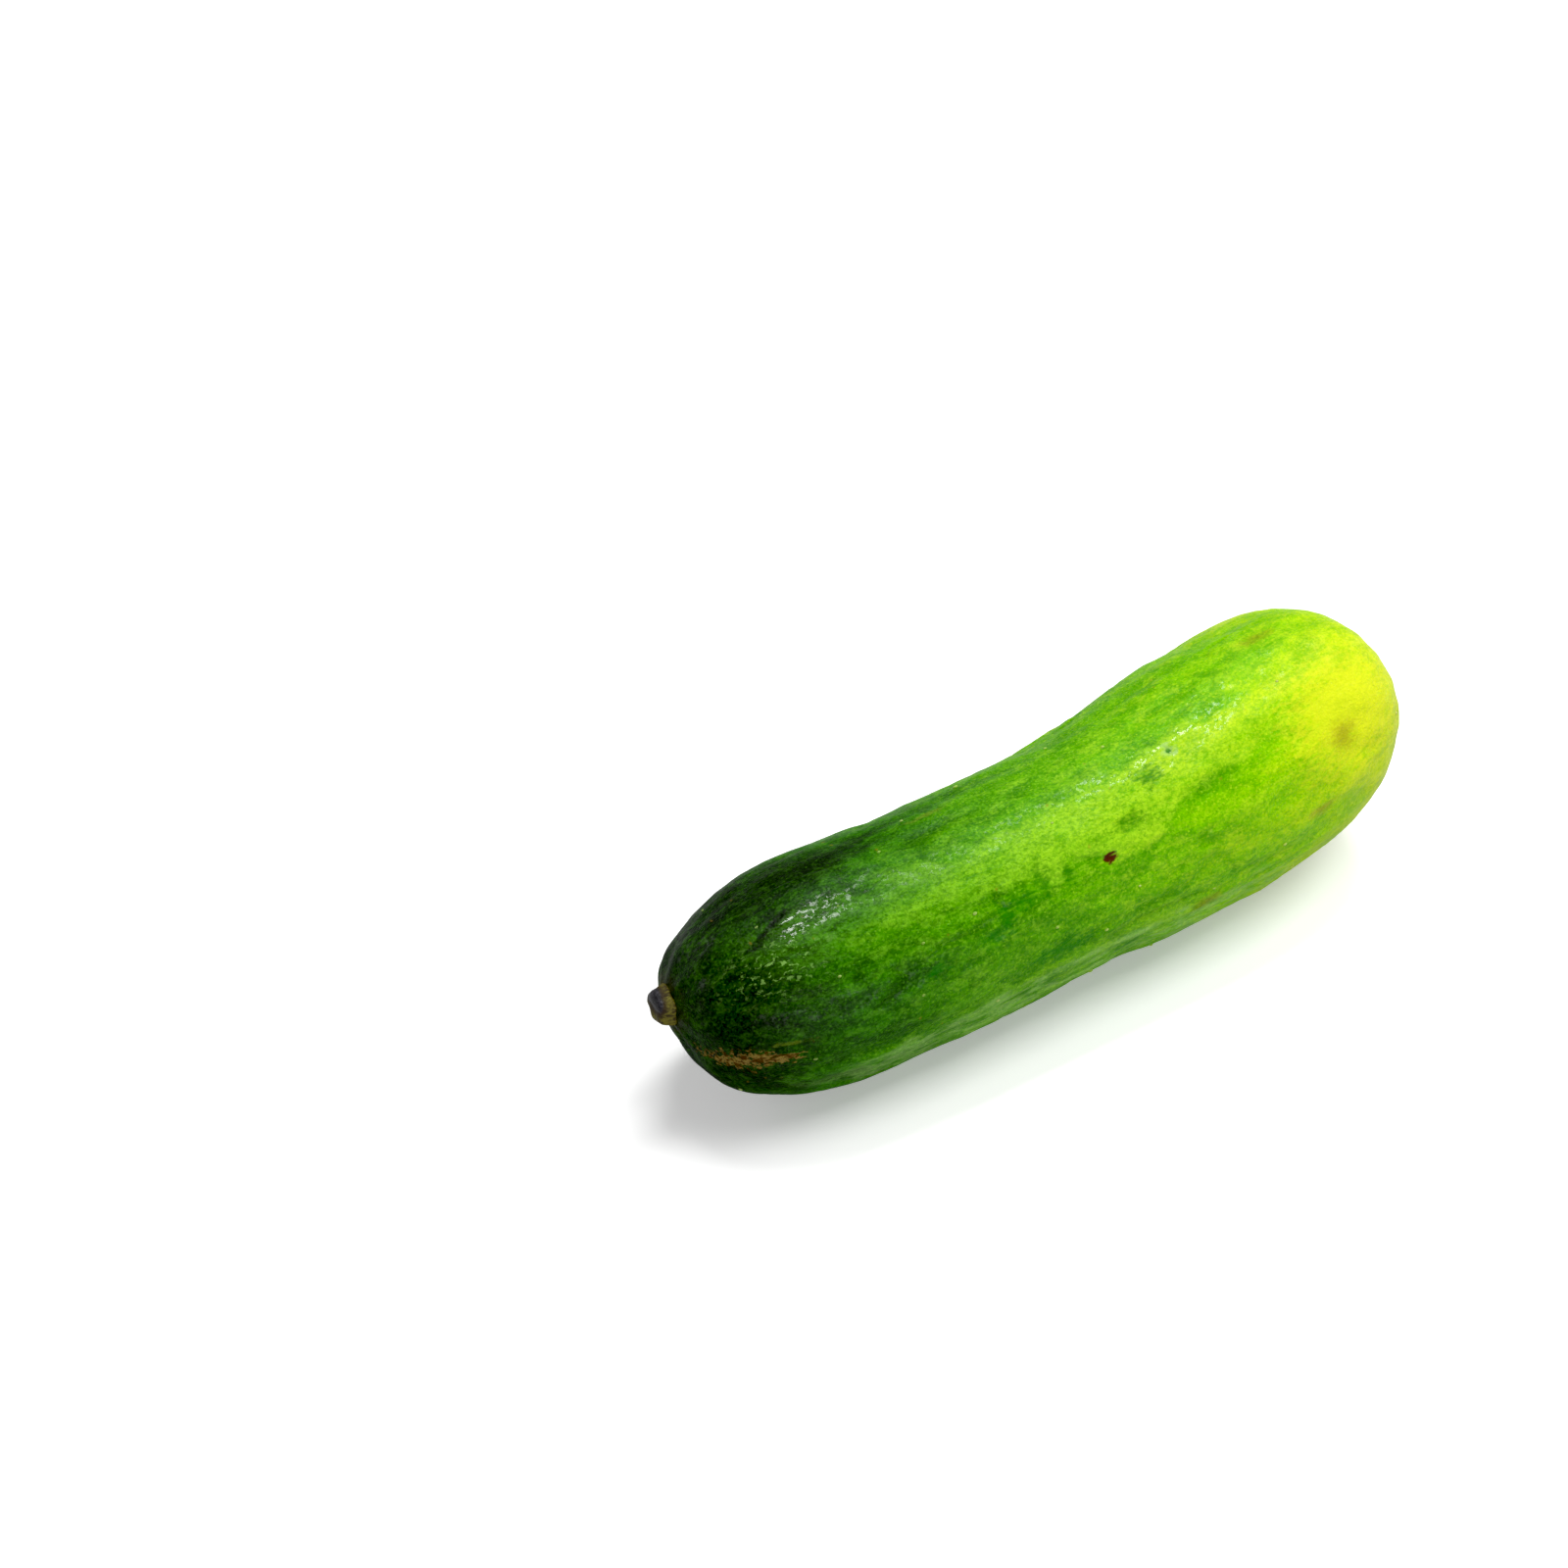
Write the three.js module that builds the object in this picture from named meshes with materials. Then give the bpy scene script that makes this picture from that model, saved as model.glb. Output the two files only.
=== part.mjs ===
// A short, smooth-skinned cucumber lying on its side: the fruit, grown as one piece, and
// the dry stub of its stalk seated on the neck.
//
// Millimetres, +Z up, the surface it lies on at Z = 0. +X runs from the stalk end to the
// blossom end and +Y points to the hollow side of the bend. Stations are measured along
// the curved axis from the face of the neck; angles around a section start at +Y and pass
// through +Z.

import * as THREE from "three";
import { mergeVertices } from "three/addons/utils/BufferGeometryUtils.js";

// ---- Driving dimensions of the fruit ----

const FRUIT_LENGTH = 150;
const BEND_ANGLE = THREE.MathUtils.degToRad(18.5); // turn of the axis from end to end

const SHOULDER_DIAMETER = 40.2; // stalk half, the same from the shoulder to the waist
const SHOULDER_STATION = 40; // where the stalk half lies on the surface
const WAIST_STATION = 72; // where the fruit starts to swell
const BULGE_DIAMETER = 44.6;
const BULGE_FROM_BLOSSOM_END = 36.5;

const STALK_CAP_LENGTH = 35.5;
const STALK_CAP_FULLNESS = 2.55; // exponent of the rounding: 2 is an ellipse, more is blunter
const BLOSSOM_CAP_LENGTH = 34.5;
const BLOSSOM_CAP_FULLNESS = 3.25;

const NECK_HEIGHT = 0.8; // how far the neck stands out of the rounded end
const NECK_FACE_DIAMETER = 6.8;
const NECK_ROOT_DIAMETER = 14; // where the neck runs into the rounded end
const NECK_FLARE = 0.5; // how much the neck widens before its hollow fillet turns outward
const NECK_SIDEWAYS = 1.8; // shift of the neck to the hollow side
const NECK_RISE = 2; // upward shift of the neck
const NECK_REACH = 9; // length over which the shift dies out
const STALK_END_RISE = 1.6; // slight lift of each end off the surface
const BLOSSOM_END_RISE = 1.1;
const END_RISE_REACH = 40; // length over which each lift dies out

const LOBE_DEPTH = 0.35; // three seed chambers make the section very slightly three-sided
const LOBE_ANGLE = THREE.MathUtils.degToRad(20);
const HOLLOW_DEPTH = 0.8; // shallow pinch on the inside of the bend
const HOLLOW_STATION = 88;
const HOLLOW_LENGTH = 14;
const HOLLOW_ANGLE = THREE.MathUtils.degToRad(50);
const HOLLOW_SPREAD = 0.9; // angular half width, in radians

const REST_FLATTENING = 0.25; // how far the belly is pressed flat by its own weight

// ---- Driving dimensions of the stalk stub ----

const SEAT_GAP = 0.3; // between the face of the neck and the stub
const STUB_LENGTH = 2.2;
const STUB_TIP_DIAMETER = 5;
const STUB_DOME_HEIGHT = 0.9;
const STUB_WAISTING = 0.25; // how far the sides of the stub curve in

// ---- Fineness of the faceted surface ----

const FRUIT_SIDES = 48;
const CAP_RINGS = 15;
const BARREL_RING_SPACING = 3.2;
const FILLET_RINGS = 4;
const STUB_SIDES = 20;
const STUB_RINGS = 4;

// ---- Values that follow from them ----

const SHOULDER_RADIUS = SHOULDER_DIAMETER / 2;
const BULGE_RADIUS = BULGE_DIAMETER / 2;
const BULGE_STATION = FRUIT_LENGTH - BULGE_FROM_BLOSSOM_END;
const STALK_CAP_END = NECK_HEIGHT + STALK_CAP_LENGTH;
const BLOSSOM_CAP_START = FRUIT_LENGTH - BLOSSOM_CAP_LENGTH;
const BEND_RADIUS = FRUIT_LENGTH / BEND_ANGLE;
const BELLY = -Math.PI / 2;

/** Radius of the round barrel at a station, before the ends close in. */
function barrelRadius(station) {
  const swell = THREE.MathUtils.smoothstep(station, WAIST_STATION, BULGE_STATION);
  return THREE.MathUtils.lerp(SHOULDER_RADIUS, BULGE_RADIUS, swell);
}

/** One profile point of a rounded end: depth inward from its tip, and radius. */
function capPoint(turn, length, radius, fullness) {
  const power = 2 / fullness;
  return {
    depth: length * (1 - Math.cos(turn) ** power),
    radius: radius * Math.sin(turn) ** power,
  };
}

/** Hollow fillet from the face of the neck to the rounded end, as profile points. */
function neckFillet() {
  const faceRadius = NECK_FACE_DIAMETER / 2;
  const rootRadius = NECK_ROOT_DIAMETER / 2;
  const share = rootRadius / SHOULDER_RADIUS;
  const left = (1 - share ** STALK_CAP_FULLNESS) ** (1 / STALK_CAP_FULLNESS);
  const rootStation = NECK_HEIGHT + STALK_CAP_LENGTH * (1 - left);
  const rootSlope = (STALK_CAP_LENGTH / SHOULDER_RADIUS) * (share / left) ** (STALK_CAP_FULLNESS - 1);
  const bendRadius = faceRadius + NECK_FLARE;
  const fillet = new THREE.QuadraticBezierCurve(
    new THREE.Vector2(faceRadius, 0),
    new THREE.Vector2(bendRadius, rootStation - rootSlope * (rootRadius - bendRadius)),
    new THREE.Vector2(rootRadius, rootStation),
  );
  return fillet.getPoints(FILLET_RINGS);
}

/** The straight fruit's profile: x is the radius and y the station. */
function fruitProfile() {
  const profile = [new THREE.Vector2(0, 0), ...neckFillet()];
  const quarter = Math.PI / 2;
  const rootShare = NECK_ROOT_DIAMETER / SHOULDER_DIAMETER;
  const rootTurn = Math.asin(rootShare ** (STALK_CAP_FULLNESS / 2));
  for (let ring = 1; ring <= CAP_RINGS; ring += 1) {
    const turn = THREE.MathUtils.lerp(rootTurn, quarter, ring / CAP_RINGS);
    const point = capPoint(turn, STALK_CAP_LENGTH, SHOULDER_RADIUS, STALK_CAP_FULLNESS);
    profile.push(new THREE.Vector2(point.radius, NECK_HEIGHT + point.depth));
  }
  const barrelRings = Math.ceil((BLOSSOM_CAP_START - STALK_CAP_END) / BARREL_RING_SPACING);
  for (let ring = 1; ring <= barrelRings; ring += 1) {
    const station = THREE.MathUtils.lerp(STALK_CAP_END, BLOSSOM_CAP_START, ring / barrelRings);
    profile.push(new THREE.Vector2(barrelRadius(station), station));
  }
  for (let ring = CAP_RINGS - 1; ring >= 1; ring -= 1) {
    const turn = quarter * (ring / CAP_RINGS);
    const point = capPoint(turn, BLOSSOM_CAP_LENGTH, 1, BLOSSOM_CAP_FULLNESS);
    const station = FRUIT_LENGTH - point.depth;
    profile.push(new THREE.Vector2(barrelRadius(station) * point.radius, station));
  }
  profile.push(new THREE.Vector2(0, FRUIT_LENGTH));
  return profile;
}

/** Radius of the grown section: the round one with its lobes and the pinch of the bend. */
function sectionRadius(roundRadius, station, angle) {
  const share = roundRadius / SHOULDER_RADIUS;
  const lobes = LOBE_DEPTH * share * Math.cos(3 * (angle - LOBE_ANGLE));
  const along = (station - HOLLOW_STATION) / HOLLOW_LENGTH;
  const offset = angle - HOLLOW_ANGLE;
  const around = Math.atan2(Math.sin(offset), Math.cos(offset)) / HOLLOW_SPREAD;
  const hollow = HOLLOW_DEPTH * Math.exp(-(along ** 2) - around ** 2);
  return roundRadius + lobes - hollow * Math.min(share, 1);
}

/** Height of the axis, so that shoulder and bulge both lie on the surface. */
function axisHeight(station) {
  const shoulder = sectionRadius(SHOULDER_RADIUS, SHOULDER_STATION, BELLY);
  const bulge = sectionRadius(BULGE_RADIUS, BULGE_STATION, BELLY);
  const share = (station - SHOULDER_STATION) / (BULGE_STATION - SHOULDER_STATION);
  return THREE.MathUtils.lerp(shoulder, bulge, share) - REST_FLATTENING;
}

/** Turns a point of the straight fruit (station, to the side, up) into its place. */
function bendPoint(station, side, up) {
  const turn = (station / FRUIT_LENGTH - 0.5) * BEND_ANGLE;
  const pull = Math.max(0, 1 - station / NECK_REACH) ** 2;
  const across = side + NECK_SIDEWAYS * pull;
  const lift =
    STALK_END_RISE * Math.max(0, 1 - station / END_RISE_REACH) ** 2 +
    BLOSSOM_END_RISE * Math.max(0, 1 - (FRUIT_LENGTH - station) / END_RISE_REACH) ** 2;
  const middle = BEND_RADIUS * Math.cos(BEND_ANGLE / 2);
  return new THREE.Vector3(
    (BEND_RADIUS - across) * Math.sin(turn),
    middle - (BEND_RADIUS - across) * Math.cos(turn),
    axisHeight(station) + NECK_RISE * pull + lift + up,
  );
}

/** A lathe body with its seam closed, each point moved by the function given. */
function deformedLathe(profile, sides, move) {
  const lathe = new THREE.LatheGeometry(profile, sides);
  lathe.deleteAttribute("normal");
  lathe.deleteAttribute("uv");
  const geometry = mergeVertices(lathe, 1e-4);
  const position = geometry.getAttribute("position");
  const point = new THREE.Vector3();
  for (let index = 0; index < position.count; index += 1) {
    point.fromBufferAttribute(position, index);
    const placed = move(point);
    position.setXYZ(index, placed.x, placed.y, placed.z);
  }
  geometry.computeVertexNormals();
  return geometry;
}

/** The fruit: its profile turned, lobed, bent, lifted at the neck and laid on its belly. */
function fruitGeometry() {
  return deformedLathe(fruitProfile(), FRUIT_SIDES, (point) => {
    const angle = Math.atan2(point.x, point.z);
    const radius = sectionRadius(Math.hypot(point.x, point.z), point.y, angle);
    const onAxis = point.x === 0 && point.z === 0;
    const placed = bendPoint(
      point.y,
      onAxis ? 0 : radius * Math.cos(angle),
      onAxis ? 0 : radius * Math.sin(angle),
    );
    placed.z = Math.max(placed.z, 0);
    return placed;
  });
}

/** The stub's profile, y outward from its seat: a waisted taper closed by a dome. */
function stubProfile() {
  const seatRadius = NECK_FACE_DIAMETER / 2;
  const tipRadius = STUB_TIP_DIAMETER / 2;
  const taperLength = STUB_LENGTH - STUB_DOME_HEIGHT;
  const taper = new THREE.QuadraticBezierCurve(
    new THREE.Vector2(seatRadius, 0),
    new THREE.Vector2((seatRadius + tipRadius) / 2 - STUB_WAISTING, taperLength / 2),
    new THREE.Vector2(tipRadius, taperLength),
  );
  const profile = [new THREE.Vector2(0, 0), ...taper.getPoints(STUB_RINGS)];
  for (let ring = 1; ring < STUB_RINGS; ring += 1) {
    const turn = (Math.PI / 2) * (ring / STUB_RINGS);
    const height = taperLength + STUB_DOME_HEIGHT * Math.sin(turn);
    profile.push(new THREE.Vector2(tipRadius * Math.cos(turn), height));
  }
  profile.push(new THREE.Vector2(0, STUB_LENGTH));
  return profile;
}

/** The stub, standing square on the face of the neck with the seat gap between them. */
function stubGeometry() {
  const seat = bendPoint(0, 0, 0);
  const turn = -BEND_ANGLE / 2;
  const outward = new THREE.Vector3(-Math.cos(turn), -Math.sin(turn), 0);
  const side = new THREE.Vector3(-Math.sin(turn), Math.cos(turn), 0);
  const up = new THREE.Vector3(0, 0, 1);
  return deformedLathe(stubProfile(), STUB_SIDES, (point) =>
    seat
      .clone()
      .addScaledVector(outward, SEAT_GAP + point.y)
      .addScaledVector(side, point.x)
      .addScaledVector(up, point.z),
  );
}

const skinMaterial = new THREE.MeshStandardMaterial({
  color: 0x3f8a14,
  roughness: 0.36,
  metalness: 0,
});

const stubMaterial = new THREE.MeshStandardMaterial({
  color: 0x57531f,
  roughness: 0.6,
  metalness: 0,
});

const fruit = new THREE.Mesh(fruitGeometry(), skinMaterial);
fruit.name = "fruit";

const stalkStub = new THREE.Mesh(stubGeometry(), stubMaterial);
stalkStub.name = "stalk_stub";

const placedPieces = new THREE.Group();
placedPieces.add(fruit, stalkStub);

// The origin is under the middle of the whole object.
const extent = new THREE.Box3().setFromObject(placedPieces);
const centre = extent.getCenter(new THREE.Vector3());
placedPieces.position.set(-centre.x, -centre.y, 0);

const cucumber = new THREE.Group();
cucumber.add(placedPieces);

export default cucumber;
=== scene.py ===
"""A short, smooth-skinned cucumber lying on its side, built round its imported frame.

The fine skin takes its shape from the frame's fruit and adds what grew on it: lengthwise
grooves, lumps, the blossom scar, scars and spine bases. The stub of the stalk is seated
where the frame has it. Sizes are in millimetres until a mesh is made, and in metres after.
"""

from __future__ import annotations

import itertools
import logging
import math
from dataclasses import dataclass, field
from enum import Enum, IntEnum

import bpy
import numpy as np
from mathutils import Matrix, Vector
from mathutils.bvhtree import BVHTree

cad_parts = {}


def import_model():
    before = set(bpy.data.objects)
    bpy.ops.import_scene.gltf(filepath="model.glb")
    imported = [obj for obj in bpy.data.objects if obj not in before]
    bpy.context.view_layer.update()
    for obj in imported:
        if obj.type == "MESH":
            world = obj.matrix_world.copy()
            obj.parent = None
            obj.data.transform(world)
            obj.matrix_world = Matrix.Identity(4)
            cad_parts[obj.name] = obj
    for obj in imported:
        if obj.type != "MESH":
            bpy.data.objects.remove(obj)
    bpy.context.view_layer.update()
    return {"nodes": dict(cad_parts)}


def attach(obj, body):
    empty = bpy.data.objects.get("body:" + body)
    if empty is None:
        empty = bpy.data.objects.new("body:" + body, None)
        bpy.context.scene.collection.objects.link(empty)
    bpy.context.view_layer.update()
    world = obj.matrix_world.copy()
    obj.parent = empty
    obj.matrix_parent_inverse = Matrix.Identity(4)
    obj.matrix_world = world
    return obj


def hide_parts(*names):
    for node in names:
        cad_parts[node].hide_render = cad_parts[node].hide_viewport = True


LOG = logging.getLogger("cucumber")
MM = 0.001
STRAIGHT = "straight"
CREST = "crest"

Colour = tuple[float, float, float, float]
Cell = tuple[float, float, float]


def tint(code: str) -> Colour:
    """Turns a six-digit display colour into linear light.

    Args:
        code: The colour as red, green and blue in hexadecimal, such as "2f6a08".

    Returns:
        Linear red, green and blue, and an alpha of 1.
    """
    knee, slope, offset, power = 0.04045, 12.92, 0.055, 2.4
    parts = [int(code[place : place + 2], 16) / 255 for place in (0, 2, 4)]
    linear = [
        part / slope if part <= knee else ((part + offset) / (1 + offset)) ** power for part in parts
    ]
    return (linear[0], linear[1], linear[2], 1.0)


def smooth(value: np.ndarray, start: float, end: float) -> np.ndarray:
    """Eases from 0 at start to 1 at end.

    Args:
        value: Values to ease.
        start: Where the result leaves 0.
        end: Where the result reaches 1.

    Returns:
        The eased share, between 0 and 1.
    """
    share = np.clip((value - start) / (end - start), 0.0, 1.0)
    return share * share * (3 - 2 * share)


class Seed(IntEnum):
    """Seeds of the random patterns."""

    WART_PLACES = 5
    WART_WIDTHS = 6
    GROOVE_WANDER = 11
    GROOVE_FADING = 12
    LUMPS = 21
    KNOBS = 22
    WRINKLES = 23
    GRIT = 24
    CREASES = 25
    CREASE_PATCHES = 26
    CREASE_SIDE = 27
    CREASE_UP = 28
    PLEATS = 29
    STUB = 31
    RIPENESS = 41
    TONGUES = 42
    BANDS = 61


class SmoothNoise:
    """Seeded value noise over points in space, from -1 to 1."""

    SIZE = 48

    def __init__(self, seed: int) -> None:
        """Fills the lattice of random values for one seed."""
        self.lattice = np.random.default_rng(int(seed)).uniform(-1, 1, (self.SIZE,) * 3)

    def at(self, points: np.ndarray, cell: Cell) -> np.ndarray:
        """Samples the noise.

        Args:
            points: One point per row, in millimetres.
            cell: Size of one noise cell along each axis, in millimetres.

        Returns:
            One value per point.
        """
        scaled = points / np.asarray(cell)
        base = np.floor(scaled).astype(int)
        part = scaled - base
        fade = part**3 * (part * (part * 6 - 15) + 10)
        total = np.zeros(len(points))
        for corner in itertools.product((0, 1), repeat=3):
            weight = np.prod(np.where(np.array(corner) == 1, fade, 1 - fade), axis=1)
            index = (base + corner) % self.SIZE
            total += weight * self.lattice[index[:, 0], index[:, 1], index[:, 2]]
        return total


class MarkKind(Enum):
    """What a mark on the skin is."""

    CORKY_SCAR = "corky scar"
    PALE_SCAR = "pale scar"
    BITE = "insect bite"
    CRATER = "healed crater"
    STAIN = "brown stain"
    # Dark green blotches; those set in dents below the pale rib are painted shade.
    SHADE = "dark green blotch"
    YELLOW = "sun-yellowed patch"


@dataclass(frozen=True)
class SkinMark:
    """One mark on the skin, placed in the straightened fruit.

    station is counted from the neck in millimetres. angle is in degrees round the section,
    from the hollow side of the bend through the top. length runs along the fruit and width
    across it, both in millimetres. depth is how far the mark sinks in, or stands out if
    negative.
    """

    kind: MarkKind
    station: float
    angle: float
    length: float
    width: float
    depth: float = 0.0

    def centre(self, radius: float) -> tuple[float, float, float]:
        """Returns the mark's middle in straightened millimetres, at a radius from the axis."""
        turn = math.radians(self.angle)
        return (self.station, radius * math.cos(turn), radius * math.sin(turn))

    def across(self) -> tuple[float, float, float]:
        """Returns the unit direction round the fruit at the mark."""
        turn = math.radians(self.angle)
        return (0.0, -math.sin(turn), math.cos(turn))


SKIN_MARKS = (
    SkinMark(MarkKind.CORKY_SCAR, 4.4, 184.5, 3.2, 2.0, -0.08),
    SkinMark(MarkKind.CORKY_SCAR, 6.6, 178.5, 4.0, 3.2, -0.12),
    SkinMark(MarkKind.CORKY_SCAR, 8.8, 175.5, 4.0, 2.7, -0.12),
    SkinMark(MarkKind.CORKY_SCAR, 11.6, 176.5, 5.0, 1.7, -0.08),
    SkinMark(MarkKind.PALE_SCAR, 13.5, 166, 6.0, 0.6, -0.04),
    SkinMark(MarkKind.BITE, 75.0, 142, 2.6, 1.7, 0.60),
    SkinMark(MarkKind.CRATER, 94.6, 111, 2.6, 2.4, 0.35),
    SkinMark(MarkKind.STAIN, 93.8, 193, 4.2, 2.6, 0.12),
    SkinMark(MarkKind.STAIN, 118.5, 173, 4.6, 2.0, 0.10),
    SkinMark(MarkKind.STAIN, 126.5, 146, 4.6, 4.0, 0.0),
    SkinMark(MarkKind.STAIN, 126.0, 84, 6.0, 2.2, 0.05),
    SkinMark(MarkKind.STAIN, 60.0, 318, 5.0, 2.4, 0.08),
    SkinMark(MarkKind.STAIN, 104.0, 20, 4.0, 2.2, 0.08),
    SkinMark(MarkKind.SHADE, 63.0, 176, 10.0, 3.4, 0.22),
    SkinMark(MarkKind.SHADE, 57.0, 142, 5.0, 2.2, 0.18),
    # These four dark green dents below the pale rib are painted shade.
    SkinMark(MarkKind.SHADE, 61.5, 137, 2.4, 4.6, 0.24),
    SkinMark(MarkKind.SHADE, 53.5, 145, 2.6, 4.2, 0.24),
    SkinMark(MarkKind.SHADE, 66.5, 140, 2.0, 3.4, 0.20),
    SkinMark(MarkKind.SHADE, 50.0, 152, 4.4, 1.9, 0.20),
    SkinMark(MarkKind.SHADE, 81.0, 131, 4.5, 2.0, 0.12),
    SkinMark(MarkKind.SHADE, 88.5, 117, 4.5, 2.8, 0.22),
    SkinMark(MarkKind.SHADE, 78.3, 200, 5.0, 2.0, 0.05),
    SkinMark(MarkKind.SHADE, 39.0, 156, 3.4, 1.6, 0.12),
    SkinMark(MarkKind.SHADE, 46.0, 262, 9.0, 3.0, 0.18),
    SkinMark(MarkKind.SHADE, 84.0, 330, 7.0, 3.0, 0.20),
    SkinMark(MarkKind.SHADE, 70.0, 30, 8.0, 2.8, 0.18),
    SkinMark(MarkKind.PALE_SCAR, 52.0, 77, 8.0, 0.9, -0.03),
    SkinMark(MarkKind.PALE_SCAR, 98.0, 300, 7.0, 0.9, -0.03),
    SkinMark(MarkKind.YELLOW, 130.0, 138, 26.0, 19.0, 0.0),
)


@dataclass
class CurvedAxis:
    """The arc that the fruit's axis follows, seen from above, in millimetres.

    start is the arc length at the neck. height holds the axis's level where x is 0, and its
    rise along x.
    """

    centre_x: float
    centre_y: float
    radius: float
    start: float
    height: tuple[float, float]

    @classmethod
    def measured(cls, node: bpy.types.Object) -> CurvedAxis:
        """Finds the arc from the middles of the node's sections.

        Args:
            node: The frame's fruit.

        Returns:
            The arc, with stations counted from the node's first point.
        """
        points = mesh_points(node)
        faces = [tuple(face.vertices) for face in node.data.polygons]
        tree = BVHTree.FromPolygons(points.tolist(), faces)
        low, high = points.min(0), points.max(0)
        reach = float((high - low).max())
        middle_z = float(high[2] + low[2]) / 2
        barrel, sections = 0.7, 60
        xs = np.linspace(barrel * low[0], barrel * high[0], sections)
        sides, heights = [], []
        for x in xs:
            front = tree.ray_cast(Vector((x, -reach, middle_z)), Vector((0, 1, 0)))[0].y
            back = tree.ray_cast(Vector((x, reach, middle_z)), Vector((0, -1, 0)))[0].y
            side = (front + back) / 2
            top = tree.ray_cast(Vector((x, side, reach)), Vector((0, 0, -1)))[0].z
            under = tree.ray_cast(Vector((x, side, -reach)), Vector((0, 0, 1)))[0].z
            sides.append(side)
            heights.append((top + under) / 2)
        curve, slope, _ = np.polyfit(xs, sides, 2)
        radius = 1 / (2 * curve)
        centre_x = -slope / (2 * curve)
        lowest = np.polyval(np.polyfit(xs, sides, 2), centre_x)
        rise, level = np.polyfit(xs, heights, 1)
        centre_y = float(lowest) + float(radius)
        axis = cls(float(centre_x), centre_y, float(radius), 0.0, (float(level), float(rise)))
        axis.start = float(axis.straighten(points)[:, 0].min())
        return axis

    def straighten(self, points: np.ndarray) -> np.ndarray:
        """Turns places in the frame into places in the straightened fruit.

        Args:
            points: Points in the frame, in millimetres.

        Returns:
            Station along the axis, side and up of each point, in millimetres.
        """
        dx = points[:, 0] - self.centre_x
        dy = self.centre_y - points[:, 1]
        station = self.radius * np.arctan2(dx, dy) - self.start
        up = points[:, 2] - self.height[0] - self.height[1] * points[:, 0]
        return np.stack([station, self.radius - np.hypot(dx, dy), up], axis=1)

    def place(self, straight: np.ndarray) -> np.ndarray:
        """Turns places in the straightened fruit into places in the frame.

        Args:
            straight: Station, side and up of each point, in millimetres.

        Returns:
            The points in the frame, in millimetres.
        """
        turn = (straight[:, 0] + self.start) / self.radius
        reach = self.radius - straight[:, 1]
        x = self.centre_x + reach * np.sin(turn)
        y = self.centre_y - reach * np.cos(turn)
        return np.stack([x, y, straight[:, 2] + self.height[0] + self.height[1] * x], axis=1)


def mesh_points(piece: bpy.types.Object) -> np.ndarray:
    """Reads the vertices of a mesh piece.

    Args:
        piece: The piece.

    Returns:
        Its vertices in millimetres, one per row.
    """
    flat = np.empty(3 * len(piece.data.vertices))
    piece.data.vertices.foreach_get("co", flat)
    return flat.reshape(-1, 3) / MM


def turn_from(straight: np.ndarray, middle: float | np.ndarray) -> np.ndarray:
    """Angle of each point round the section from a middle one, in degrees from -180 to 180."""
    angle = np.degrees(np.arctan2(straight[:, 2], straight[:, 1]))
    return (angle - middle + 180) % 360 - 180


def new_piece(name: str, points: np.ndarray, faces: list[tuple[int, ...]]) -> bpy.types.Object:
    """Makes a smooth-shaded mesh piece and rides it on the one body.

    Args:
        name: The piece's name.
        points: Its vertices in millimetres.
        faces: Its faces, as vertex numbers.

    Returns:
        The new object.
    """
    mesh = bpy.data.meshes.new(name)
    mesh.from_pydata((points * MM).tolist(), [], faces)
    mesh.polygons.foreach_set("use_smooth", [True] * len(mesh.polygons))
    mesh.update()
    piece = bpy.data.objects.new(name, mesh)
    bpy.context.scene.collection.objects.link(piece)
    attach(piece, "root")
    return piece


def store_vectors(piece: bpy.types.Object, name: str, values: np.ndarray) -> None:
    """Stores one vector per vertex as a named attribute."""
    layer = piece.data.attributes.new(name, "FLOAT_VECTOR", "POINT")
    layer.data.foreach_set("vector", values.astype(np.float32).ravel())


def store_values(piece: bpy.types.Object, name: str, values: np.ndarray) -> None:
    """Stores one number per vertex as a named attribute."""
    layer = piece.data.attributes.new(name, "FLOAT", "POINT")
    layer.data.foreach_set("value", values.astype(np.float32))


def ring_faces(rings: int, sides: int) -> list[tuple[int, ...]]:
    """Faces of a closed body of rings between two poles.

    Args:
        rings: How many rings lie between the poles.
        sides: How many vertices each ring has.

    Returns:
        Faces looking outward, for the first pole, the rings in order and the last pole,
        when the rings run along an axis and turn by the right-hand rule about it.
    """
    last = 1 + rings * sides
    around = [(side, (side + 1) % sides) for side in range(sides)]
    faces: list[tuple[int, ...]] = [(0, 1 + after, 1 + here) for here, after in around]
    for ring in range(rings - 1):
        low, high = 1 + ring * sides, 1 + (ring + 1) * sides
        faces += [(low + here, low + after, high + after, high + here) for here, after in around]
    top = 1 + (rings - 1) * sides
    faces += [(last, top + here, top + after) for here, after in around]
    return faces


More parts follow.
